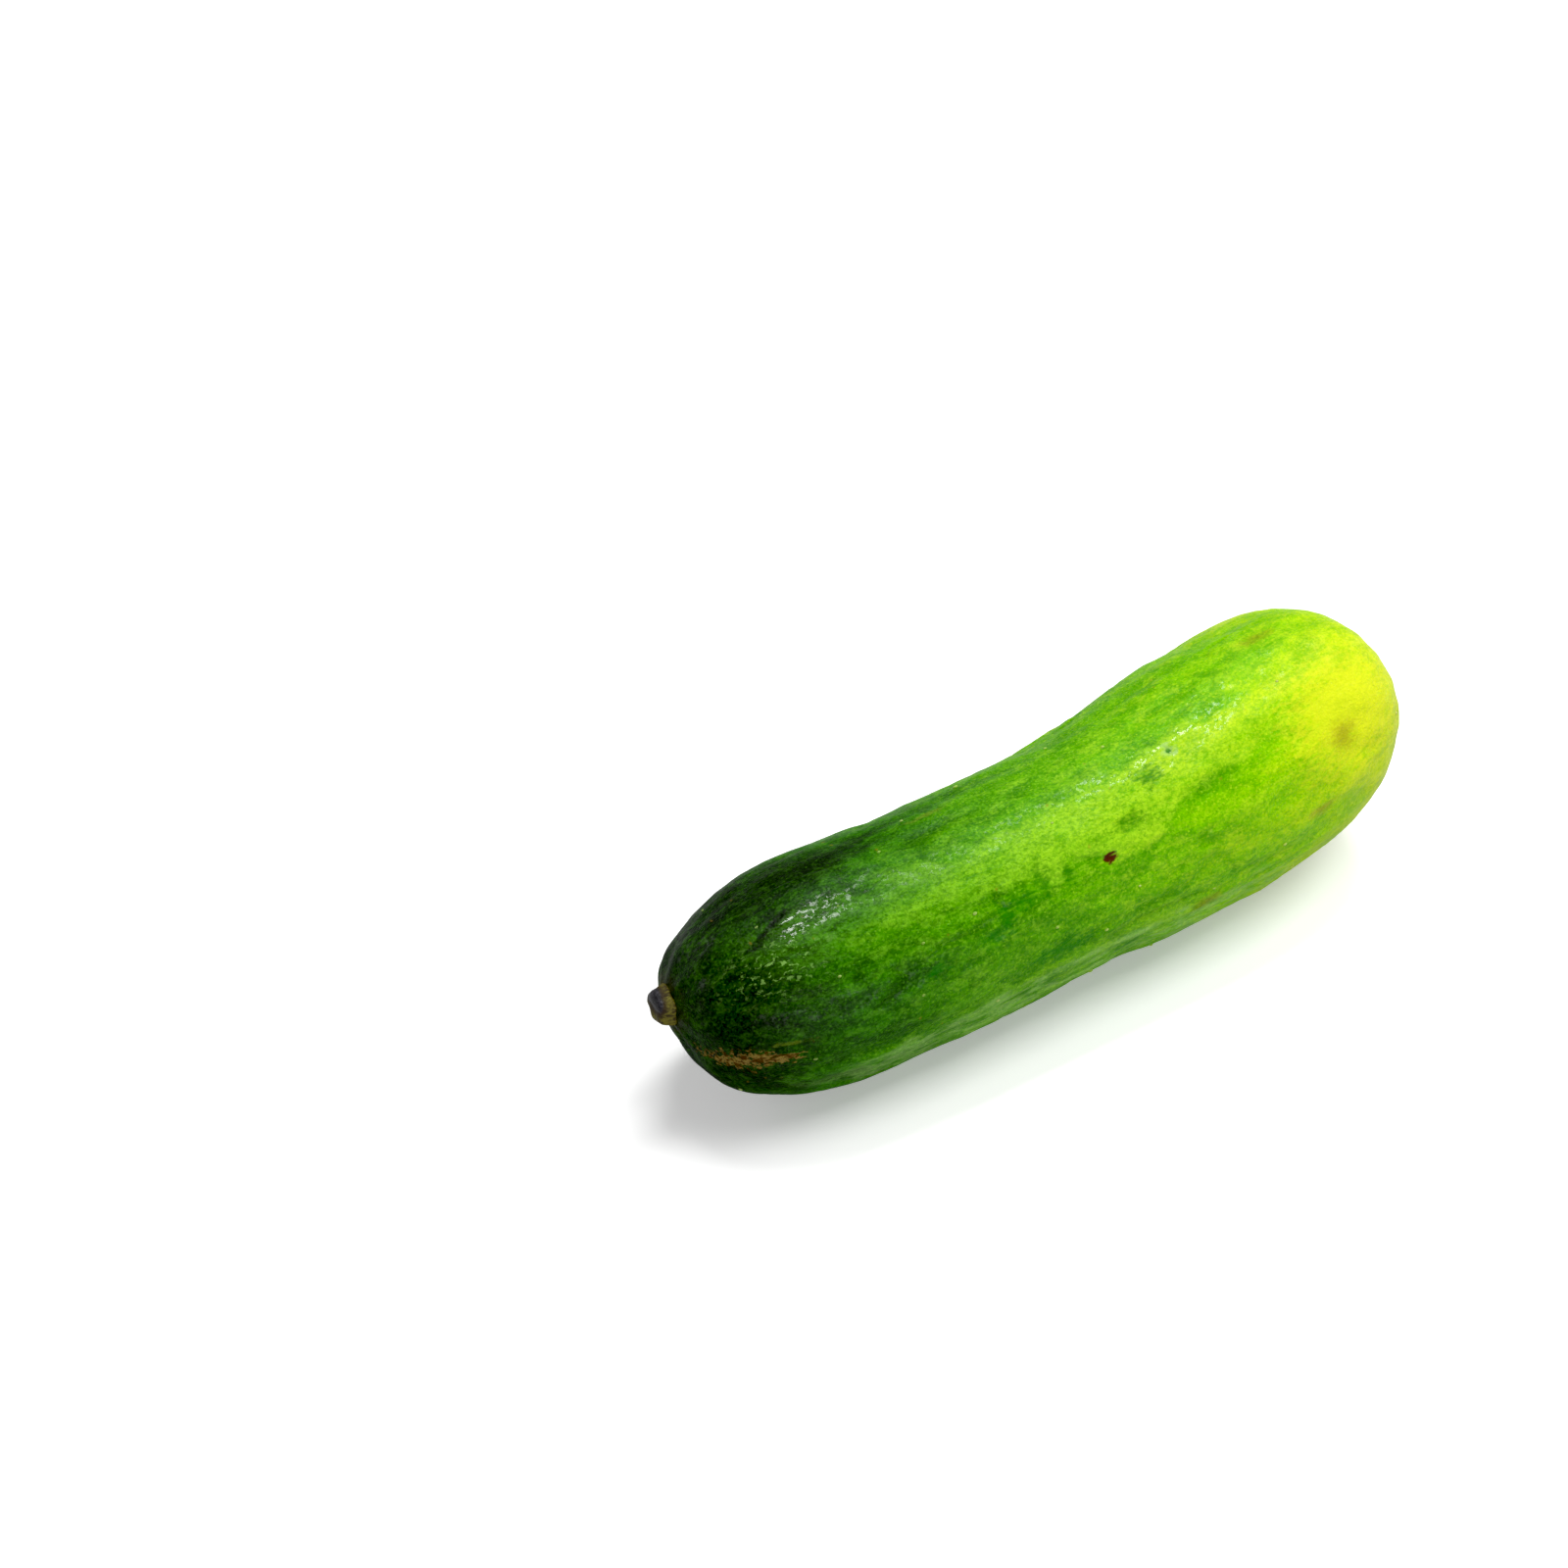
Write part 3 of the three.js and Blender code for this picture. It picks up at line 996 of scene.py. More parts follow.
class NodeSheet:
    """Adds and links nodes in one shader tree."""

    def __init__(self, tree: bpy.types.NodeTree) -> None:
        """Keeps the tree that the nodes go in."""
        self.tree = tree

    def add(self, kind: str, **settings: object) -> bpy.types.Node:
        """Adds a node.

        Args:
            kind: The node's type, without "ShaderNode".
            **settings: Its properties.

        Returns:
            The node, placed after the ones before it.
        """
        node = self.tree.nodes.new(kind if kind.startswith("Node") else "ShaderNode" + kind)
        for name, value in settings.items():
            setattr(node, name, value)
        step_across, step_down, rows = 190, -230, 5
        column, row = divmod(len(self.tree.nodes), rows)
        node.location = (step_across * column, step_down * row)
        return node

    def feed(self, node: bpy.types.Node, **inputs: object) -> bpy.types.Node:
        """Sets or links a node's inputs.

        Args:
            node: The node.
            **inputs: Values or outputs for its inputs, named with underscores for spaces.

        Returns:
            The same node.
        """
        for name, value in inputs.items():
            self.put(node.inputs[name.replace("_", " ")], value)
        return node

    def put(self, socket: bpy.types.NodeSocket, value: object) -> None:
        """Links a socket if the value is an output, or else sets it.

        Args:
            socket: The input.
            value: An output, or a value for it.
        """
        if isinstance(value, bpy.types.NodeSocket):
            self.tree.links.new(value, socket)
        else:
            socket.default_value = value

    def math(
        self,
        operation: str,
        first: object,
        second: object = 0.0,
        third: object = 0.0,
        clamp: bool = False,
    ) -> bpy.types.NodeSocket:
        """Adds a Math node.

        Args:
            operation: What it works out.
            first: Its first value.
            second: Its second value.
            third: Its third value, which only a few operations use.
            clamp: True to keep the result between 0 and 1.

        Returns:
            The result.
        """
        node = self.add("Math", operation=operation, use_clamp=clamp)
        for place, value in enumerate((first, second, third)):
            self.put(node.inputs[place], value)
        return node.outputs[0]

    def vector(self, operation: str, first: object, second: object = (0, 0, 0)) -> bpy.types.Node:
        """Adds a Vector Math node.

        Args:
            operation: What it works out.
            first: Its first vector.
            second: Its second vector.

        Returns:
            The node.
        """
        node = self.add("VectorMath", operation=operation)
        self.put(node.inputs[0], first)
        self.put(node.inputs[1], second)
        return node

    def spread(
        self, value: object, low: object, high: object, to_low: object = 0.0, to_high: object = 1.0
    ) -> bpy.types.NodeSocket:
        """Eases a value from one range to another.

        Args:
            value: The value.
            low: Start of its range.
            high: End of its range.
            to_low: What the start becomes.
            to_high: What the end becomes.

        Returns:
            The eased value.
        """
        node = self.add("MapRange", interpolation_type="SMOOTHSTEP")
        for place, item in enumerate((value, low, high, to_low, to_high)):
            self.put(node.inputs[place], item)
        return node.outputs["Result"]

    def mix(self, share: object, first: object, second: object) -> bpy.types.NodeSocket:
        """Mixes two colours.

        Args:
            share: How much of the second colour shows, from 0 to 1.
            first: The first colour.
            second: The second colour.

        Returns:
            The mixed colour.
        """
        colour_inputs, colour_output = (6, 7), 2
        node = self.add("Mix", data_type="RGBA")
        self.put(node.inputs[0], share)
        for place, colour in zip(colour_inputs, (first, second)):
            self.put(node.inputs[place], colour)
        return node.outputs[colour_output]

    def lay(
        self, colour: object, over: object, mask: bpy.types.NodeSocket, strength: float
    ) -> bpy.types.NodeSocket:
        """Lays one colour over another where a mask is 1, as strongly as strength says."""
        return self.mix(self.math("MULTIPLY", mask, strength), colour, over)

    def ramp(
        self, share: object, stops: tuple[tuple[float, str], ...], whole: float
    ) -> bpy.types.NodeSocket:
        """Reads a colour from a run of stops.

        Args:
            share: Where to read, from 0 to 1.
            stops: Places from 0 to whole, each with its display colour.
            whole: The place of the last stop.

        Returns:
            The colour output.
        """
        node = self.add("ValToRGB")
        self.put(node.inputs[0], share)
        band = node.color_ramp
        while len(band.elements) < len(stops):
            band.elements.new(0.5)
        for element, (place, code) in zip(band.elements, stops):
            element.position = place / whole
            element.color = tint(code)
        return node.outputs[0]

    def attribute(self, name: str) -> bpy.types.Node:
        """Returns a node that reads a named attribute of the mesh."""
        return self.add("Attribute", attribute_name=name)

    def red(self, colour: bpy.types.NodeSocket) -> bpy.types.NodeSocket:
        """Returns the red part of a colour."""
        return self.feed(self.add("SeparateColor"), Color=colour).outputs[0]

    def group(self, tree: bpy.types.NodeTree, **inputs: object) -> bpy.types.Node:
        """Places a node group with its own input values."""
        node = self.add("Group", node_tree=tree)
        return self.feed(node, **inputs)


def start_group(
    name: str, inputs: dict[str, object], outputs: tuple[str, ...]
) -> tuple[NodeSheet, bpy.types.Node, bpy.types.Node]:
    """Starts a shader node group.

    Args:
        name: The group's name.
        inputs: Input names, each with its default: a number, or a triple for a vector.
        outputs: Names of its output values.

    Returns:
        A sheet on the group's tree, its input node and its output node.
    """
    tree = bpy.data.node_groups.new(name, "ShaderNodeTree")
    for label, default in inputs.items():
        kind = "NodeSocketVector" if isinstance(default, tuple) else "NodeSocketFloat"
        socket = tree.interface.new_socket(label, in_out="INPUT", socket_type=kind)
        socket.default_value = default
    for label in outputs:
        tree.interface.new_socket(label, in_out="OUTPUT", socket_type="NodeSocketFloat")
    sheet = NodeSheet(tree)
    return sheet, sheet.add("NodeGroupInput"), sheet.add("NodeGroupOutput")


@dataclass
class SurfaceEffects:
    """The node groups that the cucumber's finishes share."""

    mottle: bpy.types.NodeTree = field(init=False)
    streaks: bpy.types.NodeTree = field(init=False)
    flecks: bpy.types.NodeTree = field(init=False)
    patch: bpy.types.NodeTree = field(init=False)
    grain: bpy.types.NodeTree = field(init=False)

    def __post_init__(self) -> None:
        """Builds each group once."""
        self.mottle = self.build_mottle()
        self.streaks = self.build_streaks()
        self.flecks = self.build_flecks()
        self.patch = self.build_patch()
        self.grain = self.build_grain()

    @staticmethod
    def stretched(
        sheet: NodeSheet, position: object, length: object, width: object
    ) -> bpy.types.NodeSocket:
        """Divides a position by a cell that is long along the fruit and narrow across it."""
        cell = sheet.feed(sheet.add("CombineXYZ"), X=length, Y=width, Z=width).outputs[0]
        return sheet.vector("DIVIDE", position, cell).outputs[0]

    def build_mottle(self) -> bpy.types.NodeTree:
        """Makes cloudy blotches.

        Returns:
            The group, with Position, Length, Width, Low and High in and Mask out.
        """
        inputs = {"Position": (0.0, 0.0, 0.0), "Length": 8.0, "Width": 4.0, "Low": 0.45, "High": 0.6}
        sheet, into, out = start_group("mottle", inputs, ("Mask",))
        given = into.outputs
        point = self.stretched(sheet, given["Position"], given["Length"], given["Width"])
        noise = sheet.add("TexNoise", noise_dimensions="3D", normalize=True)
        sheet.feed(noise, Vector=point, Scale=1.0, Detail=4.0, Roughness=0.58, Distortion=0.6)
        sheet.put(out.inputs["Mask"], sheet.spread(noise.outputs[0], given["Low"], given["High"]))
        return sheet.tree

    def build_streaks(self) -> bpy.types.NodeTree:
        """Makes thin broken lines along the fruit.

        Returns:
            The group, with Position, Length, Width and Fineness in and Mask out.
        """
        inputs = {"Position": (0.0, 0.0, 0.0), "Length": 30.0, "Width": 2.0, "Fineness": 0.06}
        sheet, into, out = start_group("streaks", inputs, ("Mask",))
        given = into.outputs
        point = self.stretched(sheet, given["Position"], given["Length"], given["Width"])
        noise = sheet.add("TexNoise", noise_dimensions="3D", normalize=True)
        sheet.feed(noise, Vector=point, Scale=1.0, Detail=2.0, Roughness=0.5, Distortion=0.25)
        centred = sheet.math("ABSOLUTE", sheet.math("SUBTRACT", noise.outputs[0], 0.5))
        line = sheet.spread(centred, 0.0, given["Fineness"], 1.0, 0.0)
        broken = sheet.group(self.mottle, Length=9.0, Width=5.0, Low=0.42, High=0.6)
        sheet.feed(broken, Position=given["Position"])
        sheet.put(out.inputs["Mask"], sheet.math("MULTIPLY", line, broken.outputs["Mask"]))
        return sheet.tree

    def build_flecks(self) -> bpy.types.NodeTree:
        """Makes small dots.

        Returns:
            The group, with Position, Spacing, Size and Density in and Mask out.
        """
        inputs = {"Position": (0.0, 0.0, 0.0), "Spacing": 1.5, "Size": 0.2, "Density": 0.5}
        sheet, into, out = start_group("flecks", inputs, ("Mask",))
        given = into.outputs
        point = self.stretched(sheet, given["Position"], given["Spacing"], given["Spacing"])
        bent = sheet.add("TexNoise", noise_dimensions="3D", normalize=True)
        sheet.feed(bent, Vector=point, Scale=1.6, Detail=1.0)
        shake = sheet.vector("MULTIPLY", bent.outputs["Color"], (0.5, 0.5, 0.5)).outputs[0]
        shifted = sheet.vector("ADD", point, shake)
        cells = sheet.add("TexVoronoi", voronoi_dimensions="3D", feature="F1")
        sheet.feed(cells, Vector=shifted.outputs[0], Scale=1.0, Randomness=1.0)
        kept = sheet.math("LESS_THAN", sheet.red(cells.outputs["Color"]), given["Density"])
        edge = sheet.math("MULTIPLY", given["Size"], 0.45)
        dot = sheet.spread(cells.outputs["Distance"], edge, given["Size"], 1.0, 0.0)
        sheet.put(out.inputs["Mask"], sheet.math("MULTIPLY", dot, kept))
        return sheet.tree

    def build_patch(self) -> bpy.types.NodeTree:
        """Makes ragged patches round the places where Distance is below 1.

        Returns:
            The group, with Distance, Position, Raggedness and Softness in and Mask out.
        """
        inputs = {"Distance": 9.0, "Position": (0.0, 0.0, 0.0), "Raggedness": 0.5, "Softness": 0.3}
        sheet, into, out = start_group("patch", inputs, ("Mask",))
        ragged = sheet.add("TexNoise", noise_dimensions="3D", normalize=True)
        point = self.stretched(sheet, into.outputs["Position"], 1.7, 0.75)
        sheet.feed(ragged, Vector=point, Scale=1.0, Detail=3.0, Roughness=0.6)
        most_shake = 4.0
        centred = sheet.math("SUBTRACT", ragged.outputs[0], 0.5)
        shaken = sheet.math("MULTIPLY", centred, into.outputs["Raggedness"])
        shaken = sheet.math("MULTIPLY", shaken, most_shake)
        edge = sheet.math("ADD", into.outputs["Distance"], shaken)
        outer = sheet.math("ADD", 1.0, into.outputs["Softness"])
        inner = sheet.math("SUBTRACT", 1.0, into.outputs["Softness"])
        sheet.put(out.inputs["Mask"], sheet.spread(edge, inner, outer, 1.0, 0.0))
        return sheet.tree

    def build_grain(self) -> bpy.types.NodeTree:
        """Makes the fine relief of plant skin.

        Returns:
            The group, with Position, Cell and Pebbles in and Height out.
        """
        inputs = {"Position": (0.0, 0.0, 0.0), "Cell": 1.0, "Pebbles": 0.5}
        sheet, into, out = start_group("grain", inputs, ("Height",))
        long_cell = sheet.math("MULTIPLY", into.outputs["Cell"], 1.35)
        wrinkle = sheet.add("TexNoise", noise_dimensions="3D", normalize=True)
        point = self.stretched(sheet, into.outputs["Position"], long_cell, into.outputs["Cell"])
        sheet.feed(wrinkle, Vector=point, Scale=1.0, Detail=5.0, Roughness=0.62)
        cells = sheet.add("TexVoronoi", voronoi_dimensions="3D", feature="SMOOTH_F1")
        sheet.feed(cells, Vector=point, Scale=2.1, Smoothness=0.6)
        pebbles = sheet.math("MULTIPLY", cells.outputs["Distance"], into.outputs["Pebbles"])
        sheet.put(out.inputs["Height"], sheet.math("SUBTRACT", wrinkle.outputs[0], pebbles))
        return sheet.tree


def mark_distance(straight: np.ndarray, kind: MarkKind, marks: tuple[SkinMark, ...]) -> np.ndarray:
    """Measures how far each point lies from the nearest mark of one kind.

    Args:
        straight: Straightened points of the skin, in millimetres.
        kind: Which marks to look at.
        marks: All the marks.

    Returns:
        0 in the middle of a mark, 1 at its edge, and growing beyond it up to 6.
    """
    farthest = 6.0
    nearest = np.full(len(straight), farthest)
    radius = np.hypot(straight[:, 1], straight[:, 2])
    for mark in marks:
        if mark.kind is not kind:
            continue
        across = np.radians(turn_from(straight, mark.angle)) * radius / (mark.width / 2)
        along = (straight[:, 0] - mark.station) / (mark.length / 2)
        nearest = np.minimum(nearest, np.hypot(along, across))
    return nearest


@dataclass(frozen=True)
class Ripeness:
    """How the skin's green turns to yellow, from the dark stalk end to the blossom end.

    Everything here moves a point's place on the run of colours, in millimetres: to the dark
    end if negative, to the yellow end if positive. The far side is given as pairs of a
    station and how far the skin there is moved; that darkening is partly the skin's own
    darker green and partly painted shade on the far upper side.
    """

    wave: float = 7.0
    wave_cell: Cell = (34, 15, 15)
    tongues: float = 13.0
    tongue_cell: Cell = (30, 4.2, 4.2)
    far_angle: float = 74.0
    far_width: float = 29.0
    far_side_green_and_painted_shade: tuple[tuple[float, float], ...] = (
        (0, 0),
        (10, -8),
        (25, -22),
        (55, -26),
        (75, -12),
        (95, -10),
        (112, -20),
        (150, -22),
    )
    belly: float = 9.0
    belly_angle: float = -88.0
    belly_width: float = 38.0

    def tone(self, straight: np.ndarray, length: float) -> np.ndarray:
        """Place on the run of colours, from 0 to the fruit's length.

        Args:
            straight: Straightened points of the skin, in millimetres.
            length: The fruit's length along its axis.

        Returns:
            One place per point.
        """
        station = straight[:, 0]
        tone = station + self.wave * SmoothNoise(Seed.RIPENESS).at(straight, self.wave_cell)
        middle = smooth(station, 8, 40) * smooth(length - station, 4, 40)
        tone += self.tongues * SmoothNoise(Seed.TONGUES).at(straight, self.tongue_cell) * middle
        # The far upper side is pulled darker: partly its own darker green, partly painted shade.
        stations, moves = zip(*self.far_side_green_and_painted_shade)
        far = np.exp(-((turn_from(straight, self.far_angle) / self.far_width) ** 2))
        tone += np.interp(station, stations, moves) * far
        belly = np.exp(-((turn_from(straight, self.belly_angle) / self.belly_width) ** 2))
        tone += self.belly * belly * smooth(station, 40, 90)
        return np.clip(tone, 0, length)


@dataclass(frozen=True)
class SkinFinish:
    """Smooth green skin, dark at the stalk and yellow at the blossom end.

    The runs are colours along the fruit, at stations in millimetres. elsewhere moves a
    pattern's place, so that it is unlike the same pattern unmoved.
    """

    length: float
    middle_run: tuple[tuple[float, str], ...] = (
        (0, "0a1606"),
        (6, "0f2408"),
        (13, "1f4c07"),
        (23, "2c6c05"),
        (38, "458a07"),
        (58, "559c08"),
        (80, "63ab08"),
        (97, "72b80a"),
        (110, "86c40c"),
        (122, "a4d00e"),
        (134, "c2da18"),
        (150, "c8da38"),
    )
    dark_run: tuple[tuple[float, str], ...] = (
        (0, "060f03"),
        (13, "0e2b04"),
        (30, "205604"),
        (58, "347806"),
        (90, "459006"),
        (112, "62a808"),
        (128, "84ba0c"),
        (150, "a4c222"),
    )
    pale_run: tuple[tuple[float, str], ...] = (
        (0, "2c5210"),
        (20, "4e8c1c"),
        (45, "7cb824"),
        (75, "96ca26"),
        (100, "a6d024"),
        (122, "c4dc24"),
        (150, "d8e44c"),
    )
    waver: float = 0.07
    elsewhere: tuple[float, float, float] = (61.0, 17.0, 9.0)
    wax_rough: tuple[float, float] = (0.40, 0.52)
    cork_rough: float = 0.8
    pore_depth: float = 0.25
    cork: str = "8c763c"
    cork_dark: str = "4c3012"
    bloom: str = "9cc470"
    crumb: str = "86b458"
    streak: str = "74862a"
    collar: str = "26260c"
    collar_light: str = "56541c"
    freckle: str = "8c7420"
    bite: str = "4a2013"
    stain: str = "8a7a1e"
    stain_core: str = "6b4014"
    shade: str = "106a08"
    yellow: str = "d8d828"

    def dress(self, piece: bpy.types.Object, effects: SurfaceEffects) -> None:
        """Makes the material and gives it to the piece.

        Args:
            piece: The skin.
            effects: The shared node groups.
        """
        sheet, shader, position = start_material(piece, "cucumber_skin")
        tone = sheet.math("DIVIDE", sheet.attribute("tone").outputs["Fac"], self.length)
        waver = sheet.group(effects.mottle, Position=position, Length=7.0, Width=3.0, Low=0.25, High=0.75)
        moved = sheet.math("MULTIPLY_ADD", waver.outputs["Mask"], self.waver, -self.waver / 2)
        place = sheet.math("ADD", tone, moved, clamp=True)
        colour = sheet.ramp(place, self.middle_run, self.length)
        dark = sheet.ramp(place, self.dark_run, self.length)
        pale = sheet.ramp(place, self.pale_run, self.length)
        colour = self.paint_grain(sheet, effects, position, colour, dark, pale)
        colour = self.paint_bloom_and_reflection(sheet, effects, position, colour)
        colour, corky = self.paint_marks(sheet, effects, position, colour)
        sheet.feed(shader, Base_Color=colour)
        self.set_gloss(sheet, effects, position, shader, corky)
        self.set_relief(sheet, effects, position, shader, corky)

    def set_gloss(
        self,
        sheet: NodeSheet,
        effects: SurfaceEffects,
        position: bpy.types.NodeSocket,
        shader: bpy.types.Node,
        corky: bpy.types.NodeSocket,
    ) -> None:
        """Makes the skin waxy, with beads of wet shine, and dull where it is corky.

        Args:
            sheet: The material's node sheet.
            effects: The shared node groups.
            position: Straightened position.
            shader: The skin's shader.
            corky: Where the skin is corky.
        """
        gloss = sheet.group(effects.mottle, Position=position, Length=5.0, Width=3.0, Low=0.3, High=0.7)
        rough = sheet.spread(gloss.outputs["Mask"], 0.0, 1.0, *self.wax_rough)
        rough = sheet.spread(corky, 0.0, 1.0, rough, self.cork_rough)
        beads = sheet.group(effects.mottle, Position=position, Length=0.95, Width=0.75)
        sheet.feed(beads, Low=0.52, High=0.60)
        wet = sheet.math("MULTIPLY", beads.outputs["Mask"], sheet.attribute("wet").outputs["Fac"])
        sheet.feed(shader, Roughness=rough, Coat_Weight=wet)
        sheet.feed(shader, Specular_IOR_Level=0.14, Coat_Roughness=0.16, Coat_IOR=1.5)
        sheet.feed(shader, Subsurface_Weight=0.12, Subsurface_Scale=0.002)
        sheet.feed(shader, Subsurface_Radius=(0.9, 1.0, 0.25))

    def set_relief(
        self,
        sheet: NodeSheet,
        effects: SurfaceEffects,
        position: bpy.types.NodeSocket,
        shader: bpy.types.Node,
        corky: bpy.types.NodeSocket,
    ) -> None:
        """Adds grain, pores and scabs that are too fine for the mesh.

        Args:
            sheet: The material's node sheet.
            effects: The shared node groups.
            position: Straightened position.
            shader: The skin's shader.
            corky: Where the skin is corky.
        """
        fine = sheet.group(effects.grain, Position=position, Cell=0.8, Pebbles=0.5)
        pores = sheet.group(effects.flecks, Position=position, Spacing=0.55, Size=0.4, Density=0.7)
        height = fine.outputs["Height"]
        height = sheet.math("MULTIPLY_ADD", pores.outputs["Mask"], -self.pore_depth, height)
        scab = sheet.group(effects.grain, Position=position, Cell=0.35, Pebbles=1.0)
        height = sheet.math("ADD", height, sheet.math("MULTIPLY", scab.outputs["Height"], corky))
        bump = sheet.add("Bump")
        sheet.feed(bump, Strength=0.9, Distance=0.00018, Height=height)
        sheet.feed(shader, Normal=bump.outputs[0])

    def paint_grain(
        self,
        sheet: NodeSheet,
        effects: SurfaceEffects,
        position: bpy.types.NodeSocket,
        colour: bpy.types.NodeSocket,
        dark: bpy.types.NodeSocket,
        pale: bpy.types.NodeSocket,
    ) -> bpy.types.NodeSocket:
        """Lays blotches, streaks and flecks of darker and paler green over the skin, with painted shade in
        creases and painted light on raised places and along the pale rib.

        Args:
            sheet: The material's node sheet.
            effects: The shared node groups.
            position: Straightened position.
            colour: The skin's middle green.
            dark: Its darker green.
            pale: Its paler green.

        Returns:
            The colour with its grain.
        """
        blotch = sheet.group(effects.mottle, Position=position, Length=6.0, Width=3.2, Low=0.49, High=0.60)
        colour = sheet.lay(colour, dark, blotch.outputs["Mask"], strength=0.72)
        crest = sheet.attribute(CREST).outputs["Fac"]
        # Painted shade: creases and grooves, where crest is low, are darkened.
        colour = sheet.mix(sheet.spread(crest, -1.0, -0.15, 0.75, 0.0), colour, dark)
        shifted = sheet.vector("ADD", position, self.elsewhere).outputs[0]
        # The pale rib is partly the skin's own paler green and partly a painted highlight along the lit
        # side.
        pale_rib_and_painted_highlight = sheet.attribute("pale_rib_and_painted_highlight").outputs["Fac"]
        torn = sheet.group(effects.mottle, Position=shifted, Length=4.5, Width=2.6, Low=0.36, High=0.56)
        share = sheet.math("MULTIPLY", pale_rib_and_painted_highlight, sheet.spread(torn.outputs["Mask"], 0.0, 1.0, 0.5, 1.0))
        colour = sheet.mix(share, colour, pale)
        # Painted light: raised places, where crest is high, are paled.
        colour = sheet.mix(sheet.spread(crest, 0.25, 0.8, 0.0, 0.35), colour, pale)
        light = sheet.group(effects.mottle, Position=shifted, Length=4.0, Width=2.2, Low=0.53, High=0.64)
        colour = sheet.lay(colour, pale, light.outputs["Mask"], strength=0.5)
        small = sheet.group(effects.mottle, Position=shifted, Length=1.3, Width=0.9, Low=0.48, High=0.62)
        colour = sheet.lay(colour, dark, small.outputs["Mask"], strength=0.42)
        lines = sheet.group(effects.streaks, Position=position, Length=22.0, Width=1.8, Fineness=0.03)
        colour = sheet.lay(colour, pale, lines.outputs["Mask"], strength=0.35)
        deep = sheet.group(effects.streaks, Position=shifted, Length=12.0, Width=2.2, Fineness=0.035)
        colour = sheet.lay(colour, dark, deep.outputs["Mask"], strength=0.5)
        pepper = sheet.group(effects.mottle, Position=position, Length=0.62, Width=0.5)
        sheet.feed(pepper, Low=0.40, High=0.60)
        colour = sheet.mix(sheet.spread(pepper.outputs["Mask"], 0.0, 1.0, 0.34, 0.0), colour, dark)
        colour = sheet.mix(sheet.spread(pepper.outputs["Mask"], 0.4, 1.0, 0.0, 0.22), colour, pale)
        dots = sheet.group(effects.flecks, Position=position, Spacing=0.8, Size=0.33, Density=0.7)
        colour = sheet.lay(colour, pale, dots.outputs["Mask"], strength=0.5)
        spots = sheet.group(effects.flecks, Position=shifted, Spacing=2.3, Size=0.17, Density=0.09)
        return sheet.lay(colour, tint(self.freckle), spots.outputs["Mask"], strength=0.4)

    def paint_bloom_and_reflection(
        self,
        sheet: NodeSheet,
        effects: SurfaceEffects,
        position: bpy.types.NodeSocket,
        colour: bpy.types.NodeSocket,
    ) -> bpy.types.NodeSocket:
        """Lays the waxy, whitish bloom on the ribs; along the lower side it is partly a painted
        reflection.

        Args:
            sheet: The material's node sheet.
            effects: The shared node groups.
            position: Straightened position.
            colour: The colour so far.

        Returns:
            The colour with bloom.
        """
        wax_film_and_painted_reflection = sheet.attribute("wax_film_and_painted_reflection").outputs["Fac"]
        torn = sheet.group(effects.mottle, Position=position, Length=6.0, Width=1.3, Low=0.38, High=0.62)
        grain = sheet.group(effects.flecks, Position=position, Spacing=0.5, Size=0.5, Density=0.8)
        lines = sheet.group(effects.streaks, Position=position, Length=26.0, Width=1.1, Fineness=0.09)
        covered = sheet.math("MAXIMUM", torn.outputs["Mask"], lines.outputs["Mask"])
        share = sheet.math("MULTIPLY", covered, wax_film_and_painted_reflection)
        dusty = sheet.spread(grain.outputs["Mask"], 0.0, 1.0, 0.6, 1.0)
        colour = sheet.mix(sheet.math("MULTIPLY", share, dusty, clamp=True), colour, tint(self.bloom))
        crumbs = sheet.group(effects.mottle, Position=position, Length=1.2, Width=0.8, Low=0.57, High=0.63)
        sown = sheet.math("MULTIPLY", crumbs.outputs["Mask"], sheet.attribute("crumbs").outputs["Fac"])
        return sheet.lay(colour, tint(self.crumb), sown, strength=0.7)

    def paint_marks(
        self,
        sheet: NodeSheet,
        effects: SurfaceEffects,
        position: bpy.types.NodeSocket,
        colour: bpy.types.NodeSocket,
    ) -> tuple[bpy.types.NodeSocket, bpy.types.NodeSocket]:
        """Lays the scars, stains and bites over the skin.

        Args:
            sheet: The material's node sheet.
            effects: The shared node groups.
            position: Straightened position.
            colour: The colour so far.

        Returns:
            The colour with its marks, and where the skin is corky.
        """

        def patch(kind: MarkKind, ragged: float, soft: float) -> bpy.types.NodeSocket:
            """Masks one kind of mark.

            Args:
                kind: Which marks.
                ragged: How ragged their edges are.
                soft: How soft their edges are.

            Returns:
                1 on the marks and 0 off them.
            """
            node = sheet.group(effects.patch, Position=position, Raggedness=ragged, Softness=soft)
            sheet.feed(node, Distance=sheet.attribute(kind.name.lower()).outputs["Fac"])
            return node.outputs["Mask"]

        sunned = patch(MarkKind.YELLOW, 0.5, 0.5)
        colour = sheet.lay(colour, tint(self.yellow), sunned, strength=0.6)
